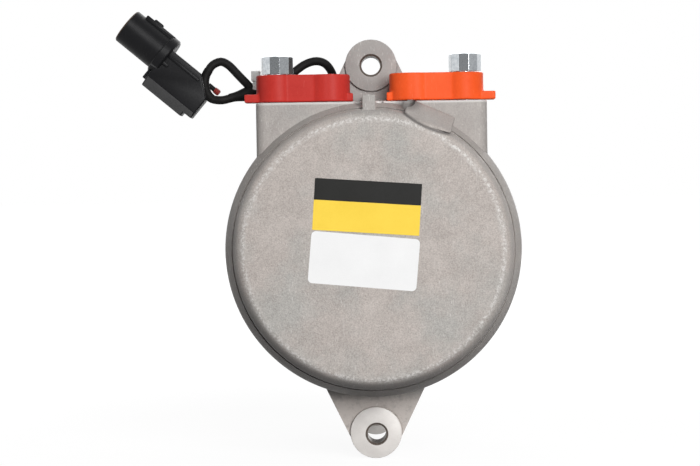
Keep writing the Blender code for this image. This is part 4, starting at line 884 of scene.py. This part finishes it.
def rear_shell():
    edge = arc(FACE_EDGE_RADIUS, 90, 12, 12, (FACE_FLAT_RADIUS, 0.0))
    profile = [(0.030, 0.0)] + [(radius, FACE_EDGE_RADIUS - rise) for radius, rise in edge]
    steps = ((0.0037, 0.0067), (0.0034, 0.0067), (0.0030, 0.0062), (0.0014, 0.0094), (0.0005, 0.0118),
             (0.0, 0.0145), (0.0, SPLIT - 0.0004), (0.0004, SPLIT))
    profile += [(BODY_RADIUS - inset, station) for inset, station in steps]
    shell = turned("rear_shell", profile, 160)
    block = box("port_block", (-BLOCK_HALF_WIDTH, at(BLOCK[0]), BLOCK_FOOT),
                (BLOCK_HALF_WIDTH, at(BLOCK[1]), BLOCK_TOP))
    edit(block)

    def upright(first, second):
        return abs(first.x - second.x) < NEAR and abs(first.y - second.y) < NEAR

    pick(block, "EDGE", upright)
    bpy.ops.mesh.bevel(offset=0.004, segments=8)
    settle(block)
    rounded(block, 0.0006, 3, 60)
    unite(shell, block, passage_swelling())
    rib_top = BODY_RADIUS + 0.002
    raised(shell, "lug_rib", (-0.0037, at(0.0030), 0.0535), (0.0017, at(0.034), rib_top), 0.0006, 3)
    cut(shell, swelling_crease(), core_pocket())
    for x in (-0.0053, 0.0033):
        cut(shell, post("rib_pocket", 0.0015, BODY_RADIUS - 0.0014, BODY_RADIUS + 0.004, x, 0.0110))
    unite(shell, lug("upper_lug", 1, UPPER_LUG, REAR_LUG, CHAMBER_RADIUS))
    unite(shell, lug("lower_lug", -1, LOWER_LUG, REAR_LUG, CHAMBER_RADIUS, bore_shift=LOWER_BORE_SHIFT))
    chamber = [(0.041, 0.008), (0.041, 0.028), (CHAMBER_RADIUS, 0.028), (CHAMBER_RADIUS, SPLIT + 0.002)]
    cut(shell, turned("chamber", chamber))
    dress(shell, "cast_aluminium", 28, nodes=["rear_housing"])
    paint(shell, FINISHES["machined_aluminium"], boss_face(LUG_RADIUS, REAR_LUG[0]))
    paint(shell, OILY_METAL, lug_bore)


def lug_bore(middle, normal):
    upper = math.hypot(middle.x, middle.z - UPPER_LUG)
    lower = math.hypot(middle.x - LOWER_BORE_SHIFT[0], middle.z + LOWER_LUG - LOWER_BORE_SHIFT[1])
    return min(upper, lower) < LUG_CHAMFER + 0.0002 and abs(normal.y) < 0.9


def boss_face(radius, station):
    """A test for the turned face of a lower lug's boss at a station."""
    def on_face(middle, normal):
        inside = math.hypot(middle.x, middle.z + LOWER_LUG) < radius + NEAR
        return inside and abs(normal.y) > 0.9 and abs(middle.y - at(station)) < 0.0004

    return on_face


def front_shell():
    fillet = arc(0.004, 270, 180, 5, (0.0485, 0.092))
    seat = SPLIT + SEAT_GAP
    profile = [(0.0497, 0.0741), (0.0497, seat), (BODY_RADIUS - 0.0004, seat), (BODY_RADIUS, SPLIT + 0.0007)]
    profile += [(BODY_RADIUS, 0.0872), (BODY_RADIUS - 0.0008, 0.088)] + fillet
    profile += [(0.0390, 0.1172), (0.0380, 0.118), (0.0200, 0.118), (0.0200, 0.1206), (0.0175, 0.1206)]
    profile += [(0.0175, 0.1439), (0.0159, 0.1439), (0.0159, 0.1457), (0.0175, 0.1457), (0.0175, 0.1471)]
    casting = turned("front_shell", profile + [(0.0171, 0.1475)], 128)
    unite(casting, lug("front_lug", -1, LOWER_LUG, FRONT_LUG, 0.034, FRONT_LUG_RADIUS))
    bore = [(0.0305, 0.072), (0.0305, 0.098), (0.026, 0.098), (0.026, 0.1136), (0.0148, 0.1136)]
    bore += [(0.0148, 0.117), (0.0124, 0.117), (0.0124, 0.150)]
    cut(casting, turned("crankcase", bore))
    for i in range(HOUSING_BOLTS):
        place = around(HOUSING_BOLT_CIRCLE, HOUSING_BOLTS, i)
        cut(casting, rod("bolt_hole", 0.0029, SPLIT - OVERLAP, 0.090, place, 32))
    dress(casting, "cast_aluminium", 28, nodes=["front_housing"])
    # The front boss's rear face is machined like the rear boss's; its pale finish is also painted light on a
    # face that sits in shade
    paint(casting, FINISHES["machined_aluminium"], boss_face(FRONT_LUG_RADIUS, FRONT_LUG[0]))


# Fasteners

def bolt_head(name, across_corners, height, chamfer, sides=6):
    """A many-sided head along +Z from the origin, with a turned chamfer on its top."""
    head = cylinder(name, across_corners / 2, height, (0, 0, height / 2), sides)
    flat = across_corners / 2 * math.cos(math.pi / sides)
    deselect()
    top = flat - chamfer
    bpy.ops.mesh.primitive_cone_add(vertices=96, radius1=top + 4 * height, radius2=top, depth=2 * height)
    combine(head, bpy.context.object, "INTERSECT")
    return rounded(head, 0.00015, 2, 20)


def cap_bolts():
    for side, name, turn in ((-1, "left_cap_bolt", 11.0), (1, "right_cap_bolt", 12.0)):
        low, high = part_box(name)
        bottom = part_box("left_port_cap")[1].z + CAP_RISE + SEAT_GAP
        bolt = bolt_head(name + "_zinc", 0.0132, high.z - bottom, 0.0006, CAP_BOLT_SIDES)
        moved(bolt, Matrix.Rotation(math.radians(180 + turn), 4, "Z"))
        moved(bolt, Matrix.Translation((side * BOLT_X, at(PORT_STATIONS[side]), bottom)))
        unite(bolt, post("shank", 0.0039, low.z, bottom + OVERLAP, side * BOLT_X, PORT_STATIONS[side], 32))
        dress(bolt, "zinc_plated_steel", 8, nodes=[name])


def housing_bolts():
    """Hexagon heads on a washer face, once modelled and set round the flange."""
    head = moved(bolt_head("housing_bolt", 0.0090, 0.0046, 0.0005), Matrix.Translation((0, 0, 0.0004)))
    moved(head, Matrix.Rotation(-math.pi / 2, 4, "X"))
    moved(head, Matrix.Translation((0, at(WASHER[0]), 0)))
    unite(head, rounded(rod("washer", 0.0047, *WASHER, sides=48), 0.0002))
    unite(head, rod("shank", 0.0025, 0.060, 0.0886, sides=24))
    for i in range(HOUSING_BOLTS):
        x, z = around(HOUSING_BOLT_CIRCLE, HOUSING_BOLTS, i)
        bolt = copy_of(head, f"flange_bolt_{i + 1}", Matrix.Translation((x, 0, z)))
        dress(bolt, "zinc_plated_steel", 12, nodes=[f"housing_bolt_{i + 1}"])
    bpy.data.objects.remove(head)


# Port caps

def port_cap(node, side, slot):
    low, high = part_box(node)
    bottom = BLOCK_TOP + SEAT_GAP
    station = PORT_STATIONS[side]
    y = at(station)
    top = high.z + CAP_RISE
    cap = post(node + "_moulding", CAP_LOBE, bottom, top, side * PORT_X, station)
    for x in (PORT_X + CAP_SECOND_LOBE, BOLT_X):
        unite(cap, post("lobe", CAP_LOBE, bottom, top, side * x, station))
    ends = sorted((side * PORT_X, side * BOLT_X))
    unite(cap, box("waist", (ends[0], y - CAP_HALF_WAIST, bottom), (ends[1], y + CAP_HALF_WAIST, top)))
    tab_top = bottom + CAP_TAB_HEIGHT
    unite(cap, box("tabs", (low.x, y - CAP_TAB_HALF, bottom), (high.x, y + CAP_TAB_HALF, tab_top)))
    soften(cap, 0.00036, 5)
    moved(cap, Matrix.Translation((CAP_SHIFT[side], 0, 0)))
    dress(cap, slot, 60, nodes=[node])


# Plug on the lead

def on_plug(u, n):
    """World place in the plug's middle plane, u along the plug from its mouth and n square to that."""
    x = PLUG_MOUTH[0] + u * math.cos(PLUG_TILT) + n * math.sin(PLUG_TILT)
    z = PLUG_MOUTH[1] - u * math.sin(PLUG_TILT) + n * math.cos(PLUG_TILT)
    return x, at(PLUG_STATION), z


def plug_matrix():
    """From plug measures (u, depth, n) to the world."""
    return Matrix.Translation(on_plug(PLUG_SHIFT, 0)) @ Matrix.Rotation(PLUG_TILT, 4, "Y")


def along_plug(place):
    """Distance of a world place from the plug's mouth, along the plug."""
    return (plug_matrix().inverted() @ place).x


def plug_tube(name, profile, sides=64):
    """A turned shape along the plug's axis, from (radius, u) points."""
    shifted = [(radius, u - REAR) for radius, u in profile]
    tube = turned(name, shifted, sides)
    return moved(tube, Matrix.Rotation(-math.pi / 2, 4, "Z"))


def plug():
    low = -PLUG_DROP - PLUG_BLOCK[2] / 2
    half = PLUG_BLOCK[1] / 2
    body = box("plug_body", (BARREL_LENGTH, -half, low), (BLOCK_END, half, PLUG_SIDE))
    edit(body)

    def front_low(first, second):
        return max(first.y, second.y) < -half + NEAR and max(first.z, second.z) < low + NEAR

    pick(body, "EDGE", front_low)
    bpy.ops.mesh.bevel(offset=0.0046, segments=1)
    settle(body)
    corner = box("lead_corner", (-0.004, -0.02, 0.0), (0.014, 0.02, 0.014))
    corner_place = Matrix.Translation((BLOCK_END - 0.0080, 0, PLUG_SIDE))
    cut(body, moved(corner, corner_place @ Matrix.Rotation(PLUG_TILT, 4, "Y")))
    cut(body, box("notch", (BLOCK_END - 0.004, -0.02, low - 0.01), (BLOCK_END + 0.01, 0.02, low + 0.002)))
    rounded(body, 0.0005, 3)
    root = -half + OVERLAP
    raised(body, "side_ridge", (0.0222, -half - 0.0005, PLUG_SIDE - 0.0034),
           (0.0380, root, PLUG_SIDE - 0.0022), 0.0003)
    raised(body, "gusset", (0.0210, -half - 0.0009, -0.0030), (0.0245, root, -0.0016), 0.0004)
    loop = box("clip_loop", (0.0186, -0.0030, -0.0124), (0.0240, 0.0030, -0.0080))
    cut(loop, box("clip_window", (0.0198, -0.0080, -0.0112), (0.0226, 0.0080, -0.0094)))
    unite(body, rounded(loop, 0.0004))
    collar = BARREL_RADIUS + 0.0012
    step = BARREL_LENGTH - 0.0022
    barrel = [(BARREL_RADIUS - 0.0004, 0.0), (BARREL_RADIUS, 0.0005), (BARREL_RADIUS, step)]
    barrel += [(collar - 0.0004, step), (collar, BARREL_LENGTH - 0.0018)]
    barrel += [(collar, BARREL_LENGTH + 0.0012), (collar - 0.0007, BARREL_LENGTH + 0.0019)]
    unite(body, plug_tube("barrel", barrel))
    root = BARREL_RADIUS - OVERLAP
    raised(body, "lock_rib", (0.0043, -0.0024, root), (0.0192, 0.0024, BARREL_RADIUS + 0.0013), 0.0004)
    raised(body, "lock_bump", (0.0078, -0.0019, root), (0.0122, 0.0019, BARREL_RADIUS + 0.0021), 0.0006, 3)
    cut(body, plug_tube("bore", [(BARREL_BORE, -0.002), (BARREL_BORE, BARREL_LENGTH - 0.003)]))
    moved(body, plug_matrix())
    dress(body, "black_plastic", 30, nodes=["connector_housing"])
    turn = Matrix.Rotation(PLUG_TILT, 3, "Y")
    strip = turn @ Vector((0, -1, -1)).normalized()
    mouth = turn @ Vector((-1, 0, 0))

    def on_strip(middle, normal):
        return normal.dot(strip) > 0.97 and along_plug(middle) > BARREL_LENGTH

    def in_mouth(middle, normal):
        return normal.dot(mouth) > 0.55 and middle.x < PLUG_MOUTH[0] + 0.008

    # The chamfer strip along the block's lower edge gets scuffs and a painted reflection
    paint(body, SCUFFED_SHEEN_MOULDING, on_strip)
    paint(body, BROWN_MOULDING, in_mouth)
    return body


def wire_seal():
    """Ribbed red seal beside the upper lead's entry."""
    profile = [(0.0010, BLOCK_END - 0.0035), (0.0010, BLOCK_END - 0.0004)]
    for i in range(3):
        profile += [(0.0014, BLOCK_END - 0.0002 + 0.0008 * i), (0.0012, BLOCK_END + 0.0002 + 0.0008 * i)]
    seal = plug_tube("wire_seal", profile + [(0.0010, BLOCK_END + 0.0022)], 32)
    moved(seal, Matrix.Translation((0, 0.0026, 0.0023)))
    moved(seal, plug_matrix())
    dress(seal, "red_plastic", 40, finish=RED_RUBBER)
    paint(seal, FINISHES["black_rubber"], lambda middle, normal: along_plug(middle) < BLOCK_END - 0.0005)
    return seal


# Leads

def smooth_route(points, step):
    """Points read from a smooth curve through a route's own points, about one step apart."""
    route = []
    ends = [points[0]] + list(points) + [points[-1]]
    for before, start, end, after in zip(ends, ends[1:], ends[2:], ends[3:]):
        count = max(1, round(math.dist(start, end) / step))
        for i in range(count):
            t = i / count
            weights = (-0.5 * t + t**2 - 0.5 * t**3, 1 - 2.5 * t**2 + 1.5 * t**3,
                       0.5 * t + 2 * t**2 - 1.5 * t**3, -0.5 * t**2 + 0.5 * t**3)
            corners = (before, start, end, after)
            route.append([sum(w * corner[k] for w, corner in zip(weights, corners)) for k in range(3)])
    route.append(list(points[-1]))
    return route


TAPE = [
    (-0.0590, 0.0367, 0.0629, 0.0016), (-0.0572, 0.0370, 0.0631, 0.0018), (-0.0552, 0.0374, 0.0635, 0.0021),
    (-0.0532, 0.0378, 0.0640, 0.0025), (-0.0515, 0.0382, 0.0645, 0.0028), (-0.0500, 0.0385, 0.0648, 0.0030),
    (-0.0488, 0.0387, 0.0648, 0.0031), (-0.0475, 0.0388, 0.0648, 0.0032), (-0.0460, 0.0390, 0.0648, 0.0032),
]
SLEEVE = [(0.0398, 0.0072), (0.0402, 0.0048), (0.0415, 0.0024), (0.0437, 0.0003), (0.0460, -0.0010),
          (0.0484, -0.0013)]
UPPER_LEAD = [
    (-0.0144, 0.1117, 0.0430), (-0.0144, 0.1050, 0.0440), (-0.0144, 0.0985, 0.0505),
    (-0.0145, 0.0915, 0.0600), (-0.0148, 0.0830, 0.0642), (-0.0152, 0.0730, 0.0638),
    (-0.0154, 0.0640, 0.0640), (-0.0155, 0.0570, 0.0660), (-0.0159, 0.0520, 0.0719),
    (-0.0186, 0.0495, 0.0765), (-0.0227, 0.0482, 0.0780), (-0.0276, 0.0470, 0.0766),
    (-0.0332, 0.0450, 0.0726), (-0.0394, 0.0420, 0.0687), (-0.0444, 0.0398, 0.0668),
    (-0.0495, 0.0384, 0.0669), (-0.0519, 0.0379, 0.0689), (-0.0551, 0.0372, 0.0723),
    (-0.0588, 0.0366, 0.0762), (-0.0620, 0.0360, 0.0777), (-0.0653, 0.0355, 0.0764),
]
LOWER_LEAD = [
    (-0.0186, 0.1117, 0.0430), (-0.0187, 0.1050, 0.0440), (-0.0187, 0.0985, 0.0505),
    (-0.0188, 0.0915, 0.0592), (-0.0192, 0.0830, 0.0626), (-0.0196, 0.0730, 0.0618),
    (-0.0200, 0.0640, 0.0620), (-0.0215, 0.0550, 0.0623), (-0.0266, 0.0480, 0.0625),
    (-0.0332, 0.0430, 0.0625), (-0.0398, 0.0403, 0.0626), (-0.0454, 0.0390, 0.0628),
    (-0.0505, 0.0383, 0.0630), (-0.0566, 0.0372, 0.0629), (-0.0617, 0.0360, 0.0618),
]


def swept(name, route, radius):
    """A round sheath along a route."""
    curve = bpy.data.curves.new(name, "CURVE")
    curve.dimensions = "3D"
    curve.bevel_depth = radius
    curve.bevel_resolution = 6
    curve.use_fill_caps = True
    spline = curve.splines.new("POLY")
    spline.points.add(len(route) - 1)
    for point, place in zip(spline.points, route):
        point.co = (*place, 1.0)
    spline.use_smooth = True
    sheath = bpy.data.objects.new(name, curve)
    bpy.context.scene.collection.objects.link(sheath)
    return sheath


def to_mesh(curve):
    """A swept curve as one closed mesh, its caps joined to its wall."""
    deselect()
    curve.select_set(True)
    bpy.context.view_layer.objects.active = curve
    bpy.ops.object.convert(target="MESH")
    solid = bpy.context.object
    edit(solid)
    bpy.ops.mesh.remove_doubles(threshold=0.00001)
    return settle(solid)


def lead(node, points, plug_end, carried):
    route = smooth_route([(x, at(station), z) for x, station, z in points] + plug_end, 0.0012)
    sheath = swept(node + "_sheath", route, LEAD_RADIUS)
    dress(sheath, "black_rubber", nodes=[node])


def leads(carried):
    exit_u = BLOCK_END - 0.004
    exit_n = 0.0042 - PLUG_DROP
    upper_end = [on_plug(exit_u - 0.0012, PLUG_SIDE + 0.0032), on_plug(exit_u - 0.0008, PLUG_SIDE + SEAT_GAP)]
    lower_end = [on_plug(BLOCK_END + 0.0034, exit_n), on_plug(BLOCK_END + SEAT_GAP, exit_n)]
    lead("coil_lead_upper", UPPER_LEAD, upper_end, carried)
    lead("coil_lead_lower", LOWER_LEAD, lower_end, carried)


def tape():
    """Cloth tape that draws the two leads together beside the red cap."""
    wrap = swept("lead_tape", [(x, at(station), z) for x, station, z, radius in TAPE], LEAD_RADIUS)
    for point, (x, station, z, radius) in zip(wrap.data.splines[0].points, TAPE):
        point.radius = radius / LEAD_RADIUS
    soften(to_mesh(wrap), 0.0004, 4)
    return dress(wrap, "black_rubber", 60)


def lead_sleeve():
    """Bent rubber sleeve that leads the upper lead along the plug's cut corner to the end of the block."""
    bend = [on_plug(u, n) for u, n in SLEEVE]
    sleeve = to_mesh(swept("lead_sleeve", smooth_route(bend, 0.0008), LEAD_RADIUS + 0.0001))
    rounded(sleeve, 0.0003, 2, 60)
    return dress(sleeve, "black_rubber", 60)


def stadium(name, radius, width):
    """A flat loop's outline as a solid: two round ends and the box between them, its axis along X."""
    y = at(TIE_STATION)
    left, right = TIE_X - width / 2, TIE_X + width / 2
    solid = box(name, (left, y - radius, TIE_LOW), (right, y + radius, TIE_HIGH))
    for z in (TIE_LOW, TIE_HIGH):
        unite(solid, cylinder("tie_bend", radius, width, (TIE_X, y, z), 48, (0, math.pi / 2, 0)))
    return solid


def cable_tie():
    inner = LEAD_RADIUS + 0.0002
    outer = inner + 0.0010
    tie = stadium("tie_strap", outer, 0.0026)
    cut(tie, stadium("tie_hollow", inner, 0.02))
    rounded(tie, 0.0002, 2, 60)
    top = TIE_HIGH + outer - 0.0003
    y = at(TIE_STATION)
    head = box("tie_head", (TIE_X - 0.0019, y - 0.0022, top), (TIE_X + 0.0019, y + 0.0022, top + 0.0043))
    cut(head, box("tie_slot", (TIE_X - 0.0014, y - 0.0008, top + 0.002),
                  (TIE_X + 0.0014, y + 0.0008, top + 0.01)))
    unite(tie, rounded(head, 0.0004))
    return dress(tie, "white_plastic", 40, nodes=["cable_tie"])


def gland():
    low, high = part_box("lead_gland")
    boot = box("lead_boot", low, high)
    rounded(boot, 0.0009, 4)
    for x, station, z in (UPPER_LEAD[0], LOWER_LEAD[0]):
        unite(boot, rounded(rod("boot_sleeve", 0.0023, 0.1102, 0.1130, (x, z), 32), 0.0004))
    dress(boot, "black_rubber", 40, nodes=["lead_gland"])


# Blank stickers on the rear face

def sticker(name, form, layer, finish, slot):
    """A thin blank sheet on the rear face, turned clockwise by its tilt."""
    (x, z), (width, height), tilt, corner = form
    top = at(0.0) - STICKER_LAYER * (layer + 1)
    sheet = box(name, (-width / 2, top, -height / 2), (width / 2, at(STICKER_SUNK), height / 2))
    edit(sheet)

    def corner_edge(first, second):
        return abs(first.x - second.x) < NEAR and abs(first.z - second.z) < NEAR

    pick(sheet, "EDGE", corner_edge)
    bpy.ops.mesh.bevel(offset=corner, segments=6)
    settle(sheet)
    moved(sheet, Matrix.Translation((x, 0, z)) @ Matrix.Rotation(tilt, 4, "Y"))
    return dress(sheet, slot, finish=finish)


def stickers():
    sticker("lower_sticker", LOWER_STICKER, 0, WHITE_PAPER, "white_plastic")
    upper = sticker("upper_sticker", UPPER_STICKER, 1, YELLOW_PAPER, "orange_plastic")
    edit(upper)
    x, z = UPPER_STICKER[0]
    turn = Matrix.Rotation(UPPER_STICKER[2], 3, "Y")
    place = Vector((x, 0, z)) + turn @ Vector((0, 0, UPPER_STICKER_CHANGE))
    normal = turn @ Vector((0, 0, 1))
    bpy.ops.mesh.bisect(plane_co=place, plane_no=normal)
    bpy.ops.object.mode_set(mode="OBJECT")
    paint(upper, DARK_PAPER, lambda middle, facing: (middle - place).dot(normal) > 0)


# Clutch

def slot_cutter(circle, width, start, end, count, share, first):
    """One cutter for a ring of curved slots: a thin ring with its bridges taken out."""
    low, high = circle - width / 2, circle + width / 2
    cutter = turned("slots", [(low, start), (high, start), (high, end), (low, end)], 96, ring=True)
    bridge = circle * (2 * math.pi / count - share)
    for i in range(count):
        gap = box("bridge", (circle - width, at(start) - OVERLAP, -bridge / 2),
                  (circle + width, at(end) + OVERLAP, bridge / 2))
        cut(cutter, moved(gap, turn_about_shaft(first + math.pi / count + 2 * math.pi * i / count)))
    return cutter


def rivet_holes(target, stations, circle, lead=0.0):
    start, end = stations
    for i in range(LEAVES):
        place = around(circle, LEAVES, i, lead)
        cut(target, rod("rivet_hole", RIVET_HOLE, start - OVERLAP, end + OVERLAP, place, 24))


def pulley():
    outer = PULLEY_RADIUS
    start, face = PULLEY
    web = face - PULLEY_WEB
    profile = [(0.0473, web), (0.0473, start), (outer - 0.0004, start), (outer, start + 0.0004)]
    root = outer - GROOVE_DEPTH
    first = (start + face) / 2 - GROOVES / 2 * GROOVE_PITCH
    for i in range(GROOVES):
        station = first + i * GROOVE_PITCH
        middle = station + GROOVE_PITCH / 2
        profile += [(outer, station + 0.0002), (root + 0.0002, middle - 0.0003), (root, middle)]
        profile += [(root + 0.0002, middle + 0.0003), (outer, station + GROOVE_PITCH - 0.0002)]
    profile += [(outer, face - 0.0006), (outer - 0.0006, face), (0.0288, face), (0.0282, face - 0.0006)]
    profile += [(0.0282, start + 0.001), (0.0315, start + 0.001), (0.0315, web)]
    wheel = turned("pulley_rim", profile, 128, ring=True)
    cut(wheel, slot_cutter(FLUX_SLOT_CIRCLE, FLUX_SLOT_WIDTH, face - 0.010, face + 0.002, 6, 0.80, 0.0))
    dress(wheel, "black_painted_steel", 32, body="rotor", nodes=["pulley"])

    def friction_face(middle, normal):
        return normal.y > 0.9 and middle.y > at(face - 0.0007)

    paint(wheel, FINISHES["bearing_steel"], friction_face)


def coil_shell():
    profile = [(0.0465, 0.1408), (0.0465, 0.1187), (0.0461, 0.1183), (0.0203, 0.1183), (0.0203, 0.1203)]
    profile += [(0.0323, 0.1203), (0.0323, 0.1408), (0.0341, 0.1408), (0.0341, 0.1213), (0.0447, 0.1213)]
    shell = turned("coil_shell", profile + [(0.0447, 0.1408)], 96, ring=True)
    dress(shell, "black_painted_steel", 32, nodes=["coil_housing"])


def armature():
    start, end = ARMATURE
    profile = [(0.0300, start + 0.0004), (0.0304, start), (0.0531, start), (0.0535, start + 0.0004)]
    profile += [(0.0535, end - 0.0008), (0.0527, end), (0.0304, end), (0.0300, end - 0.0004)]
    plate = turned("armature_disc", profile, 128, ring=True)
    cut(plate, slot_cutter(ARMATURE_CIRCLE, FLUX_SLOT_WIDTH, start - 0.002, end + 0.002, LEAVES, 0.64,
                           math.pi / 2))
    rivet_holes(plate, ARMATURE, ARMATURE_CIRCLE, LEAF_LEAD)
    dress(plate, "bearing_steel", 32, body="armature", nodes=["armature_plate"])


def hub():
    start, end = HUB_PLATE
    star = rod("hub_star", 0.0172, start, end)
    for i in range(LEAVES):
        arm = box("hub_arm", (0.0, at(start), -0.0062), (0.0262, at(end), 0.0062))
        edit(arm)
        pick(arm, "VERT", lambda place: place.x < 0.001)
        bpy.ops.transform.resize(value=(1, 1, 1.9), center_override=(0, 0, 0))
        settle(arm)
        unite(arm, rod("arm_end", 0.0062, start, end, (0.0252, 0)))
        unite(star, moved(arm, turn_about_shaft(2 * math.pi * i / LEAVES)))
    rounded(star, 0.0005, 3, 50)
    boss = [(0.0100, 0.1506), (0.0105, 0.1511), (0.0105, 0.1645), (0.0097, 0.1655)]
    unite(star, turned("hub_boss", boss, 64))
    cut(star, rod("hub_bore", 0.0068, 0.149, 0.168))
    rivet_holes(star, HUB_PLATE, HUB_CIRCLE)
    dress(star, "bearing_steel", 32, body="shaft", nodes=["clutch_hub"])


def rivet(place, foot, seat):
    """A shank with a domed head on its seat."""
    dome = arc(0.0028, 25, 80, 5, (0, -0.0006))
    profile = [(0.0018, foot), (0.0018, seat)] + [(radius, seat + rise) for radius, rise in dome]
    return turned("rivet", profile, 32, centre=place)


def leaf_springs():
    start, end = LEAF
    root = around(HUB_CIRCLE, LEAVES, 0)
    tip = around(ARMATURE_CIRCLE, LEAVES, 0, LEAF_LEAD)
    length = math.dist(root, tip)
    heading = math.atan2(tip[1] - root[1], tip[0] - root[0])
    leaf = box("leaf", (0.0, at(start), -LEAF_HALF_WIDTH), (length, at(end), LEAF_HALF_WIDTH))
    unite(leaf, rod("leaf_root", LEAF_HALF_WIDTH, start, end))
    unite(leaf, rod("leaf_tip", LEAF_HALF_WIDTH, start, end, (length, 0)))
    rounded(leaf, 0.00015, 2, 60)
    moved(leaf, Matrix.Translation((root[0], 0, root[1])) @ turn_about_shaft(heading))
    unite(leaf, rivet(root, start + 0.0003, 0.1571))
    unite(leaf, rivet(tip, 0.1490, end + 0.00005))
    for i in range(LEAVES):
        spring = copy_of(leaf, f"drive_leaf_{i + 1}", turn_about_shaft(2 * math.pi * i / LEAVES))
        node = f"leaf_spring_{i + 1}"
        dress(spring, "bearing_steel", 32, body="shaft", nodes=[node], finish=FINISHES["zinc_plated_steel"])
    bpy.data.objects.remove(leaf)


def centre_nut():
    nut = bolt_head("centre_nut", 0.0150, 0.0065, 0.0006)
    moved(nut, Matrix.Rotation(-math.pi / 2, 4, "X"))
    moved(nut, Matrix.Translation((0, at(0.1663), 0)))
    cut(nut, turned("nut_bore", [(0.0053, 0.1660), (0.0043, 0.1672), (0.0043, 0.1720), (0.0053, 0.1740)], 48))
    dress(nut, "zinc_plated_steel", 12, body="shaft", nodes=["hub_nut"])


def shaft_turning():
    """The stepped shaft, with grooves for the thread at its end and a crank pin in the bush."""
    low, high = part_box("drive_shaft")
    end = high.y - REAR
    profile = [(0.0240, 0.0900), (0.0240, 0.0975), (0.0122, 0.0975), (0.0122, 0.1140), (0.0080, 0.1140)]
    profile += [(0.0080, 0.1490), (0.0065, 0.1490), (0.0065, 0.1660), (0.0040, 0.1660)]
    station = 0.1664
    while station < end - 0.0016:
        profile += [(0.0034, station + 0.0006), (0.0040, station + 0.0012)]
        station += 0.00125
    profile += [(0.0040, end - 0.0006), (0.0034, end)]
    shaft = turned("shaft_turning", profile, 64)
    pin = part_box("eccentric_bush")
    centre = ((pin[0].x + pin[1].x) / 2, (pin[0].z + pin[1].z) / 2)
    unite(shaft, rod("crank_pin", 0.0050, low.y - REAR, 0.0910, centre))
    dress(shaft, "bearing_steel", 32, body="shaft", nodes=["drive_shaft"])


finish_packed_parts()
make_camera()
make_world()
make_floor()
make_light()
carried = [plug(), wire_seal(), lead_sleeve(), tape(), cable_tie()]
leads(carried + [NODES["connector_pin_1"], NODES["connector_pin_2"]])
gland()
rear_shell()
front_shell()
stickers()
port_cap("left_port_cap", -1, "red_plastic")
port_cap("right_port_cap", 1, "orange_plastic")
cap_bolts()
housing_bolts()
pulley()
coil_shell()
armature()
hub()
leaf_springs()
centre_nut()
shaft_turning()

bpy.context.scene.view_settings.view_transform = "Standard"
bpy.context.view_layer.update()
